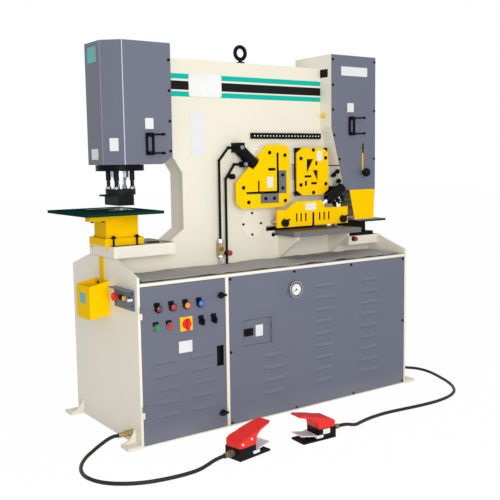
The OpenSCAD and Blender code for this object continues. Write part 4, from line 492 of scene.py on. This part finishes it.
def pick(piece, kind, chosen):
    if bpy.context.mode != "OBJECT":
        bpy.ops.object.mode_set(mode="OBJECT")
    mesh = piece.data
    for parts in (mesh.vertices, mesh.edges, mesh.polygons):
        parts.foreach_set("select", [False] * len(parts))
    if kind == "FACE":
        for face in mesh.polygons:
            face.select = chosen(face.normal)
    else:
        for edge in mesh.edges:
            edge.select = chosen(*(mesh.vertices[i].co * perMetre for i in edge.vertices))
    bpy.context.tool_settings.mesh_select_mode = (False, kind == "EDGE", kind == "FACE")
    bpy.ops.object.mode_set(mode="EDIT")


def smoothEdges(piece):
    freshStart()
    piece.select_set(True)
    bpy.context.view_layer.objects.active = piece
    bpy.ops.object.shade_smooth_by_angle(angle=math.radians(tools["smooth"]))


# a round piece: a disc pulled up through its rings of (radius, height)
def turnUp(rings, sides):
    freshStart()
    bpy.ops.mesh.primitive_circle_add(vertices=sides, radius=rings[0][0] / perMetre, fill_type="NGON")
    piece = bpy.context.object
    bpy.ops.object.mode_set(mode="EDIT")
    bpy.ops.mesh.select_mode(type="FACE")
    bpy.ops.mesh.select_all(action="SELECT")
    for (wasR, wasZ), (r, z) in zip(rings, rings[1:]):
        bpy.ops.mesh.extrude_region_move(TRANSFORM_OT_translate={"value": (0, 0, (z - wasZ) / perMetre)})
        bpy.ops.transform.resize(value=(r / wasR, r / wasR, 1))
    bpy.ops.mesh.select_all(action="SELECT")
    bpy.ops.mesh.normals_make_consistent(inside=False)
    smoothEdges(piece)
    return piece


# a flat piece: a block with rounded corners and a fine rim let into its face
def plateUp(wide, high, thick, corner, rim=0):
    freshStart()
    bpy.ops.mesh.primitive_cube_add(size=1, location=(0, 0, thick / perMetre / 2),
                                    scale=(wide / perMetre, high / perMetre, thick / perMetre))
    piece = bpy.context.object
    bpy.ops.object.transform_apply(location=True, rotation=True, scale=True)
    pick(piece, "EDGE", lambda a, b: abs(a.z - b.z) > thick / 2)
    bpy.ops.mesh.bevel(offset=corner / perMetre, segments=tools["corners"], affect="EDGES")
    if rim:
        pick(piece, "FACE", looks["up"])
        bpy.ops.mesh.inset(thickness=rim / perMetre, depth=0)
        bpy.ops.mesh.inset(thickness=rim / perMetre / 2, depth=-thick / perMetre * tools["sunk"])
    pick(piece, "EDGE", lambda a, b: min(a.z, b.z) > tools["nearTop"] * thick
         and max(abs(a.x + b.x) / wide, abs(a.y + b.y) / high) > tools["nearRim"])
    bpy.ops.mesh.bevel(offset=thick / perMetre * tools["chamfer"], segments=1, affect="EDGES")
    smoothEdges(piece)
    return piece


# where a line of sight on one face of a CAD node lands
def seats(node, face, spots):
    outward = Vector(facing[face][2])
    for spot in spots:
        if len(spot) == 2:
            a, b = spot
            spot = {"front": (a, 0, b), "back": (a, 0, b), "left": (0, a, b), "right": (0, a, b),
                    "top": (a, b, 0), "under": (a, b, 0)}[face]
        start = Vector(spot) / perMetre + outward * tools["sight"]
        hit, where = nodes[node].ray_cast(start, -outward)[:2]
        if not hit:
            print("nothing under", node, spot)
        yield tuple(v * perMetre for v in where), face, 0


def setOut(name, model, places, body, slot, finish):
    made = []
    for spot, face, turn in places:
        copy = model.copy()
        copy.data = model.data.copy()
        scene.collection.objects.link(copy)
        turned = Matrix(facing[face]).transposed().to_4x4() @ Matrix.Rotation(math.radians(turn), 4, "Z")
        copy.data.transform(Matrix.Translation(Vector(spot) / perMetre) @ turned)
        made.append(copy)
    bpy.data.objects.remove(model)
    freshStart()
    for copy in made:
        copy.select_set(True)
    bpy.context.view_layer.objects.active = made[0]
    if len(made) > 1:
        bpy.ops.object.join()
    piece = bpy.context.object
    piece.name = name
    piece.data.materials.clear()
    piece.data.materials.append(finishes[finish])
    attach(piece, body)
    return piece


# like pieces from their settings: rings or a plate's size, seated on nodes or at known places
def dress(name, rings=None, sides=24, size=None, on=(), at=(), body="machine", slot="black_steel",
          finish="black"):
    model = turnUp(rings, sides) if rings else plateUp(*size)
    seated = [place for node, face, spots in on for place in seats(node, face, spots)]
    setOut(name, model, seated + list(at), body, slot, finish)


darkPlastic = {"slot": "black_plastic", "finish": "blackPlastic"}

# socket screws of the covers, panels and guards
socketHead = [(6, 0), (6, 3.2), (5.2, 4.2), (3.1, 4.2), (2.8, 1.4)]
punchRow = [(-500, z) for z in (1604, 1475, 1345, 1217)]
discRing = [(-12, 920), (-12, 816), (40, 868), (-64, 868)]
screws = {
    "coversScrews": {"rings": socketHead, "on": [
        ("punch_cover", "front", punchRow),
        ("shear_cover", "front", [(433, 1664), (433, 1539), (433, 1417), (441, 1292), (476, 1171)]),
        ("shear_cover", "front", [(717, z) for z in (1664, 1417, 1171)]),
        ("punch_cover", "back", punchRow),
        ("shear_housing", "back", [(x, z) for x in (445, 705) for z in (1660, 1540, 1420)])]},
    "panelsScrews": {"rings": socketHead, "on": [
        ("front_panel", "front", [(35, 660), (391, 660), (750, 658), (43, 13), (406, 13), (752, 336),
                                  (-323, 659), (-325, 334), (-323, 14), (752, 14)]),
        ("rear_panel", "back", [(x, z) for x in (-750, -250, 250, 750) for z in (658, 14)])]},
    "guardsScrews": {"rings": [(9, 0), (9, 3.6), (8, 4.8), (5, 4.8), (4.5, 1.6)], "on": [
        ("guard_plates", "front", [(62, 1208), (155, 1195), (-93, 1045), (-64, 975), (155, 975),
                                   (335, 1219), (255, 1178), (415, 1179), (254, 1048), (416, 1049),
                                   (335, 1008)])]},
    "discScrews": {"rings": socketHead, "on": [("pivot_pin", face, discRing) for face in ("front", "back")]},
}
for name, settings in screws.items():
    dress(name, sides=20, **settings)
bladeBolts = {"rings": [(8.5, 0), (8.5, 2.5), (7.6, 3.4), (4.6, 3.4), (4.2, 0.8)],
              "on": [("fixed_blades", "front", [(140, 1100), (140, 1036), (36, 989), (88, 989)])]}
dress("bladeBolts", **bladeBolts)
binScrews = {"rings": socketHead, "sides": 20, "on": [("slug_bin", "left", [(38, 652), (-40, 652)])]}
dress("binScrews", body="slug_bin", **binScrews)
boxScrews = {"rings": [(4, 0), (4, 2), (3.2, 3), (1.8, 3), (1.6, 1.2)], "sides": 16,
             "on": [("side_control_box", "left", [(-134, 590), (-289, 590), (-134, 640), (-289, 640)])]}
dress("boxScrews", **boxScrews)
print("screws set out")

# bare plates: (width, height, thickness, corner, rim), the node and face under them, spot and finish
barePlates = {
    "badge": ((176, 104, 1.6, 12, 2), "frame_front_plate", "front", (-262, 1512.5), "white"),
    "ratingPlate": ((76, 192, 1.2, 3, 0.8), "frame_front_plate", "front", (-309, 1295), "plateWhite"),
    "punchSign": ((40, 46, 1.2, 3, 0.8), "punch_cover", "front", (-600, 1334), "plateWhite"),
    "shearSign": ((44, 45, 1.2, 3, 0.8), "shear_cover", "front", (551, 1430), "plateWhite"),
    "guardSign": ((36, 52, 1.2, 3, 0.8), "guard_plates", "front", (64, 1067), "plateWhite"),
    "doorSign": ((66, 50, 1.2, 3, 0.8), "control_door", "front", (-554.5, 395.5), "plateWhite"),
    "housingPlate": ((58, 40, 1.2, 3, 0.8), "shear_housing", "left", (-84, 1599), "blackPlastic"),
    "coverPlate": ((178, 45, 1.2, 3, 0.8), "shear_cover", "front", (577, 1610), "plateWhite"),
    "clampSign": ((66, 34, 1.2, 3, 0.8), "flat_clamp", "front", (279, 942), "plateWhite"),
    "barSign": ((36, 50, 1.2, 3, 0.8), "guard_plates", "front", (376, 1190), "plateWhite"),
    "coverBadge": ((84, 66, 1.2, 5, 1), "punch_cover", "left", (2, 1622), "tealPlate"),
    "coverLabel": ((66, 46, 1.2, 3, 0.8), "punch_cover", "left", (2, 1207), "plateWhite"),
    "foldLabel": ((39, 54, 1.2, 3, 0.8), "punch_cover", "coverFold", (-751, -108.5, 1246), "plateWhite"),
    "binBadge": ((60, 44, 1.0, 3, 0.8), "slug_bin", "left", (6, 595), "tealPlate"),
    "pedalPlate": ((36, 22, 1.2, 2, 0.6), "pedal_bases", "pedalRight", (-104, -705, 36), "plateWhite"),
    "hatchSign": ((40, 52, 1.2, 3, 0.8), "hatch", "front", (-169, 412), "plateWhite"),
}
moving = ("control_door", "flat_clamp", "slug_bin", "hatch")
for name, (size, node, face, spot, finish) in barePlates.items():
    dress(name, size=size, on=[(node, face, [spot])], body=node if node in moving else "machine",
          slot="white_plastic", finish=finish)

# short black marks on the bar guard: width, height, x and z
guardMarks = {"thick": 0.6, "corner": 2, "at": [(44, 11, 300, 1089), (13, 24, 287, 1055),
                                                (36, 12, 339, 1054), (13, 21, 355, 1153)]}
for i, (wide, high, x, z) in enumerate(guardMarks["at"]):
    dress("guardMark" + str(i), size=(wide, high, guardMarks["thick"], guardMarks["corner"]),
          on=[("guard_plates", "front", [(x, z)])])
print("bare plates set out")

# the door's lamps and legend tags
doorLamps = {"dome": [(13, 0), (13, 2), (12.4, 4.2), (11, 6), (8.5, 7.6), (5, 8.7), (1.2, 9.1)],
             "tints": {"lampDarkRed": -683, "lampRed": -615.7, "lampOrange": -548.4, "lampBlue": -481},
             "high": 573}
for tint, x in doorLamps["tints"].items():
    dress(tint + "Lens", rings=doorLamps["dome"], on=[("control_door", "front", [(x, doorLamps["high"])])],
          body="control_door", slot="red_plastic" if "Red" in tint else "white_plastic", finish=tint)
tags = {"size": (27, 17, 2.4, 2.5, 0.8), "skin": -321.0, "buttons": (-690, -629), "selectors": (-474, -411),
        "row": 493.5, "left": 5, "above": 17, "selectorLeft": 2, "selectorAbove": 18}
tagSpots = [(x - tags["left"], doorLamps["high"] + tags["above"]) for x in doorLamps["tints"].values()]
tagSpots += [(x - tags["left"], tags["row"] + tags["above"]) for x in tags["buttons"]]
tagSpots += [(x - tags["selectorLeft"], tags["row"] + tags["selectorAbove"]) for x in tags["selectors"]]
dress("legendTags", size=tags["size"], at=[((x, tags["skin"], z), "front", 0) for x, z in tagSpots],
      body="control_door", **darkPlastic)

# the gauge's bezel, dial, ticks and needle
gauge = {"x": 32.3, "z": 578.3, "face": -339.0, "round": 48, "dial": [(26.8, 0), (26.8, 1.0), (26.2, 1.6)],
         "bezel": [(36, 0), (36, 3.5), (34.5, 5), (30, 5), (28, 2)], "bezelUp": -2.0, "skinUp": 1.6,
         "ticks": 13, "sweep": 270, "tickR": 22.5, "tick": (1.1, 4.6, 0.4, 0.2),
         "needle": (2.0, 26, 0.8, 0.8), "needleR": 9, "needleUp": 1.8, "aim": 118,
         "hub": [(4, 0), (4, 2.4), (3, 3.2)]}


def onDial(radius, turn, up):
    a = math.radians(turn)
    return ((gauge["x"] - radius * math.sin(a), gauge["face"] - up,
             gauge["z"] + radius * math.cos(a)), "front", turn)


dress("gaugeBezel", rings=gauge["bezel"], sides=gauge["round"], at=[onDial(0, 0, gauge["bezelUp"])],
      slot="tool_steel", finish="bezelSteel")
dress("gaugeDial", rings=gauge["dial"], sides=gauge["round"], at=[onDial(0, 0, 0)],
      slot="white_plastic", finish="white")
tickTurns = [gauge["sweep"] * i / (gauge["ticks"] - 1) - gauge["sweep"] / 2 for i in range(gauge["ticks"])]
dress("gaugeTicks", size=gauge["tick"],
      at=[onDial(gauge["tickR"], turn, gauge["skinUp"]) for turn in tickTurns], **darkPlastic)
dress("gaugeNeedle", size=gauge["needle"], at=[onDial(gauge["needleR"], gauge["aim"], gauge["needleUp"])],
      **darkPlastic)
dress("gaugeHub", rings=gauge["hub"], at=[onDial(0, 0, gauge["skinUp"])], **darkPlastic)
print("door and gauge dressed")

# light bar: a row of small lamps
barLamps = {"dome": [(3.2, 0), (3.2, 0.8), (2.4, 1.8), (0.8, 2.3)], "count": 22, "from": 4, "to": 402,
            "high": 1288}
barSpan = (barLamps["to"] - barLamps["from"]) / (barLamps["count"] - 1)
barSpots = [(barLamps["from"] + i * barSpan, barLamps["high"]) for i in range(barLamps["count"])]
dress("barLamps", rings=barLamps["dome"], sides=16, on=[("lamp_bar", "front", barSpots)],
      slot="white_plastic", finish="lampWhite")

# bolts of the punch station
pedestalBolts = {"rings": [(4.5, 0), (4.5, 32), (13, 32), (13, 34), (11, 36), (8, 36), (8, 41), (6.5, 42.5),
                           (4.4, 42.5), (4.4, 44)],
                 "at": [((x, y, 818), "top", 0) for y in (-86, 86) for x in (-757, -646)]}
dress("pedestalBolts", **pedestalBolts)
stripperPosts = {"x": -675, "ring": 54, "foot": 1057, "turns": (45, 135, 225, 315)}
postSpots = [(stripperPosts["x"] + stripperPosts["ring"] * math.cos(math.radians(a)),
              stripperPosts["ring"] * math.sin(math.radians(a)), stripperPosts["foot"])
             for a in stripperPosts["turns"]]
postNuts = {"rings": [(12, 0), (12, 9), (10.5, 11)], "sides": 6,
            "at": [(spot, "top", 0) for spot in postSpots]}
dress("postNuts", slot="tool_steel", finish="dullSteel", **postNuts)
jawStuds = {"rings": [(3, 0), (3, 3), (5.5, 3), (5.5, 6), (4.5, 7)], "sides": 6,
            "on": [("jaw_boxes", "left", [(97, 803), (-68, 804)])]}
dress("jawStuds", slot="yellow_paint", finish="yellow", **jawStuds)
armBolts = {"rings": [(7, 0), (7, 5), (6, 6.5), (4, 6.5), (3.5, 3)], "sides": 6,
            "on": [("table_bolster", "under", [(-850, -80), (-800, -80), (-775, 91)])]}
dress("armBolts", **armBolts)

# latch plate of the hatch, knob of the notcher jaw, plugs and a button
hatchLatch = {"size": (50, 34, 4, 4, 1.5), "at": [((-229, -321, 411), "front", 0)]}
dress("hatchLatch", body="hatch", **hatchLatch, **darkPlastic)
jawKnobBase = {"rings": [(13, 0), (13, 5), (10, 7), (7, 7), (7, 12)],
               "on": [("jaw_boxes", "front", [(593, 758)])]}
dress("jawKnobBase", **jawKnobBase, **darkPlastic)
jawKnobCap = {"rings": [(6.5, 0), (10, 1), (11, 4), (11, 9), (9.5, 12), (5, 13.5)],
              "at": [((593, -132, 758), "front", 0)]}
dress("jawKnobCap", slot="red_plastic", finish="knobRed", **jawKnobCap)
framePlugs = {"rings": [(10, 0), (10, 3), (8.5, 4.5), (4.5, 4.5), (4, 2)],
              "on": [("fixed_blades", "front", [(117, 807)])]}
dress("framePlugs", **framePlugs)
sidePlug = {"rings": [(9, 0), (9, 14), (13, 14), (13, 30), (11.5, 37), (8, 41), (3, 43)],
            "on": [("frame_front_plate", "front", [(-138, 1098)])]}
dress("sidePlug", **sidePlug)
housingButton = {"rings": [(14, 0), (14, 3), (11, 4), (11, 9), (9, 11)],
                 "on": [("shear_housing", "left", [(-82, 1391)])]}
dress("housingButton", slot="yellow_paint", finish="yellowPlastic", **housingButton)

# scale let into the punch table
tableScale = {"size": (190, 13, 0.8, 0.6), "x": -706, "y": 84, "z": 968, "skin": 968.8,
              "marks": 20, "mark": (1, 6, 0.3, 0.1), "run": 180, "back": 2.5}
dress("tableScale", size=tableScale["size"],
      at=[((tableScale["x"], tableScale["y"], tableScale["z"]), "top", 0)],
      slot="brass_fitting", finish="brass")
markStart, gaps = tableScale["x"] - tableScale["run"] / 2, tableScale["marks"] - 1
marks = [((markStart + tableScale["run"] * i / gaps, tableScale["y"] - tableScale["back"],
           tableScale["skin"]), "top", 0) for i in range(tableScale["marks"])]
dress("tableScaleMarks", size=tableScale["mark"], at=marks, **darkPlastic)
print("bolts, plugs and scale set out")

# pipe fittings: nuts on the hold-down ports and the tubes, with the valve beside the tee
portNuts = {"rings": [(11, 0), (11, 9), (9.5, 10.5), (7, 10.5), (7, 15)], "sides": 6,
            "on": [("hold_down_cylinders", "front", [(-105, 1232), (-76, 1154)])]}
dress("portNuts", slot="brass_fitting", finish="dullSteel", **portNuts)
valveStem = {"rings": [(8, 0), (8, 18)], "at": [((-198, -79, 742), "right", 0)]}
dress("valveStem", **valveStem)
valveKnob = {"rings": [(7, 0), (7, 9), (11, 10.5), (13, 13), (13, 20), (11.5, 23), (6, 24), (5, 22.5)],
             "at": [((-172, -83, 743), "front", 0)]}
dress("valveKnob", slot="red_plastic", finish="knobRed", **valveKnob)
glandNuts = {
    "wall": {"rings": [(15.5, 0), (16.5, 1), (16.5, 9), (15.5, 10), (12.5, 10), (12.5, 13)], "deep": [3, 27],
             "finish": "brass", "from": [("left", (-775, -239, 46)), ("right", (775, -97, 46))]},
    "pedal": {"rings": [(12.4, 0), (13.2, 1), (13.2, 8), (12.4, 9), (11.4, 9), (11.4, 12)], "deep": [24],
              "finish": "bronze", "from": [("heelLeft", (-543.99, -648.01, 27)),
                                           ("heelRight", (-52, -664.02, 27))]},
}
for kind, nut in glandNuts.items():
    spots = [(tuple(Vector(spot) + Vector(facing[way][2]) * deep), way, 0)
             for way, spot in nut["from"] for deep in nut["deep"]]
    dress(kind + "GlandNuts", rings=nut["rings"], sides=6, at=spots, slot="brass_fitting",
          finish=nut["finish"])
teeNuts = {"rings": [(13.5, 0), (15.5, 1.5), (15.5, 10), (13.5, 12), (9, 12), (8, 17)], "sides": 6,
           "at": [((-210, -79, z), "top", 0) for z in (723, 793)]}
dress("teeNuts", slot="brass_fitting", finish="steel", **teeNuts)
teeBoss = {"rings": [(10, 0), (10, 5), (8.5, 6.5), (6, 6.5), (5, 4)],
           "at": [((-212, -89.5, 764), "front", 0)]}
dress("teeBoss", slot="brass_fitting", finish="bronze", **teeBoss)
holdPorts = {"rings": [(9, -3), (9, 7), (11.5, 7), (11.5, 16), (9, 18), (6.5, 18), (6.5, 30), (5, 31)],
             "along": [66, 96, 126], "start": (361, -144, 951), "radius": 26}
holdAxis, holdOut = (Vector(facing["holdUnder"][i]) for i in (1, 2))
portSpots = [tuple(Vector(holdPorts["start"]) + holdAxis * along + holdOut * holdPorts["radius"])
             for along in holdPorts["along"]]
dress("holdPorts", rings=holdPorts["rings"], sides=12, at=[(spot, "holdUnder", 0) for spot in portSpots])
sideFittings = {"rings": [(9, 0), (9, 6), (12, 6), (12, 15), (9.5, 17), (7, 17), (7, 26), (5, 27)],
                "sides": 8,
                "on": [("shear_housing", "housingSlope", [(486, -126, 1112), (491, -94, 1094),
                                                          (499, -122, 1064)])]}
dress("sideFittings", **sideFittings)
housingSeam = {"size": (84, 5, 1.5, 0.8), "on": [("shear_housing", "housingSlope", [(478, -99, 1140)])]}
dress("housingSeam", **housingSeam)
pedalScrews = {"rings": [(5, 0), (5, 1.5), (3.5, 2.8), (1.5, 3)], "sides": 16,
               "on": [("pedal_hoods", "pedalLeft", [(-473, -685, 77), (-522, -692, 66)])]}
dress("pedalScrews", slot="tool_steel", finish="treadle", **pedalScrews)

# deck mat, in metres: a grid lifted by a soft noise and then given its thickness
deckMat = {"wide": 1.484, "deep": 0.243, "at": (0, -0.1795, 0.6845), "cells": (150, 26), "thick": 0.003,
           "rumple": 0.013, "spread": 0.10, "rest": 0.25}


def layMat():
    freshStart()
    across, along = deckMat["cells"]
    bpy.ops.mesh.primitive_grid_add(x_subdivisions=across, y_subdivisions=along, size=1)
    piece = bpy.context.object
    piece.location, piece.scale = deckMat["at"], (deckMat["wide"], deckMat["deep"], 1)
    bpy.ops.object.transform_apply(location=True, rotation=True, scale=True)
    rumple = bpy.data.textures.new("matRumple", "CLOUDS")
    rumple.noise_scale, rumple.noise_depth = deckMat["spread"], 1
    lift = piece.modifiers.new("lift", "DISPLACE")
    lift.texture, lift.direction = rumple, "Z"
    lift.strength, lift.mid_level = deckMat["rumple"], deckMat["rest"]
    body = piece.modifiers.new("body", "SOLIDIFY")
    body.thickness, body.offset = deckMat["thick"], 1
    for step in ("lift", "body"):
        bpy.ops.object.modifier_apply(modifier=step)
    smoothEdges(piece)
    return piece


mat = setOut("deckMat", layMat(), [((0, 0, 0), "top", 0)], "machine", "deck_grey", "deck")
print("fittings and deck mat laid")

# plain studio: white surroundings, soft lamps (place, aim, size, power) and a pale floor
studio = {"world": 0.57, "floorGlow": 0.975, "floorSize": 40, "floorTop": -0.0005, "floorTone": 0.86,
          "floorRough": 0.9, "lamps": {"keyLamp": ((-1.9, -4.2, 1.5), (-0.3, 0, 0.8), 2.4, 118),
                                       "fillLamp": ((2.8, -3.2, 1.8), (0.2, 0, 0.8), 2.6, 6),
                                       "topLamp": ((0, -0.4, 4.2), (0, 0, 0.8), 3.0, 28)}}
white = (1, 1, 1, 1)


# 1 for the kinds of ray that are named, 0 for the others
def seenBy(tree, rays):
    path = tree.nodes.new("ShaderNodeLightPath")
    seen, *others = (Wire(tree, path.outputs["Is " + ray + " Ray"]) for ray in rays)
    for other in others:
        seen = seen.maths("MAXIMUM", seen, other)
    return seen


def setWorld():
    world = bpy.data.worlds.new("studioWorld")
    scene.world = world
    world.use_nodes = True
    tree = world.node_tree
    ground = tree.nodes["Background"]
    seen = seenBy(tree, ("Camera", "Glossy", "Transmission"))
    (seen * (1.0 - studio["world"]) + studio["world"]).into(ground, "Strength")
    ground.inputs["Color"].default_value = white


def setLamps():
    for name, (spot, aim, size, power) in studio["lamps"].items():
        data = bpy.data.lights.new(name, "AREA")
        data.size, data.energy = size, power
        lamp = bpy.data.objects.new(name, data)
        scene.collection.objects.link(lamp)
        lamp.location = spot
        lamp.rotation_mode = "QUATERNION"
        lamp.rotation_quaternion = (Vector(aim) - Vector(spot)).to_track_quat("-Z", "Y")


def setFloor():
    freshStart()
    bpy.ops.mesh.primitive_plane_add(size=studio["floorSize"], location=(0, 0, studio["floorTop"]))
    floor = bpy.context.object
    floor.name = "studioFloor"
    made, tree, shader, place = newFinish("studioFloorPaint")
    shader.inputs["Base Color"].default_value = rgba((studio["floorTone"],) * 3)
    shader.inputs["Roughness"].default_value = studio["floorRough"]
    seen = seenBy(tree, ("Camera", "Glossy")) * studio["floorGlow"]
    glow = place.make("ShaderNodeEmission", None, {"Color": white, "Strength": 1.0})
    both = place.make("ShaderNodeMixShader", None, {0: seen, 1: Wire(tree, shader.outputs[0]), 2: glow})
    both.into(tree.nodes["Material Output"], "Surface")
    floor.data.materials.append(made)


setWorld()
setLamps()
setFloor()
print("studio set")
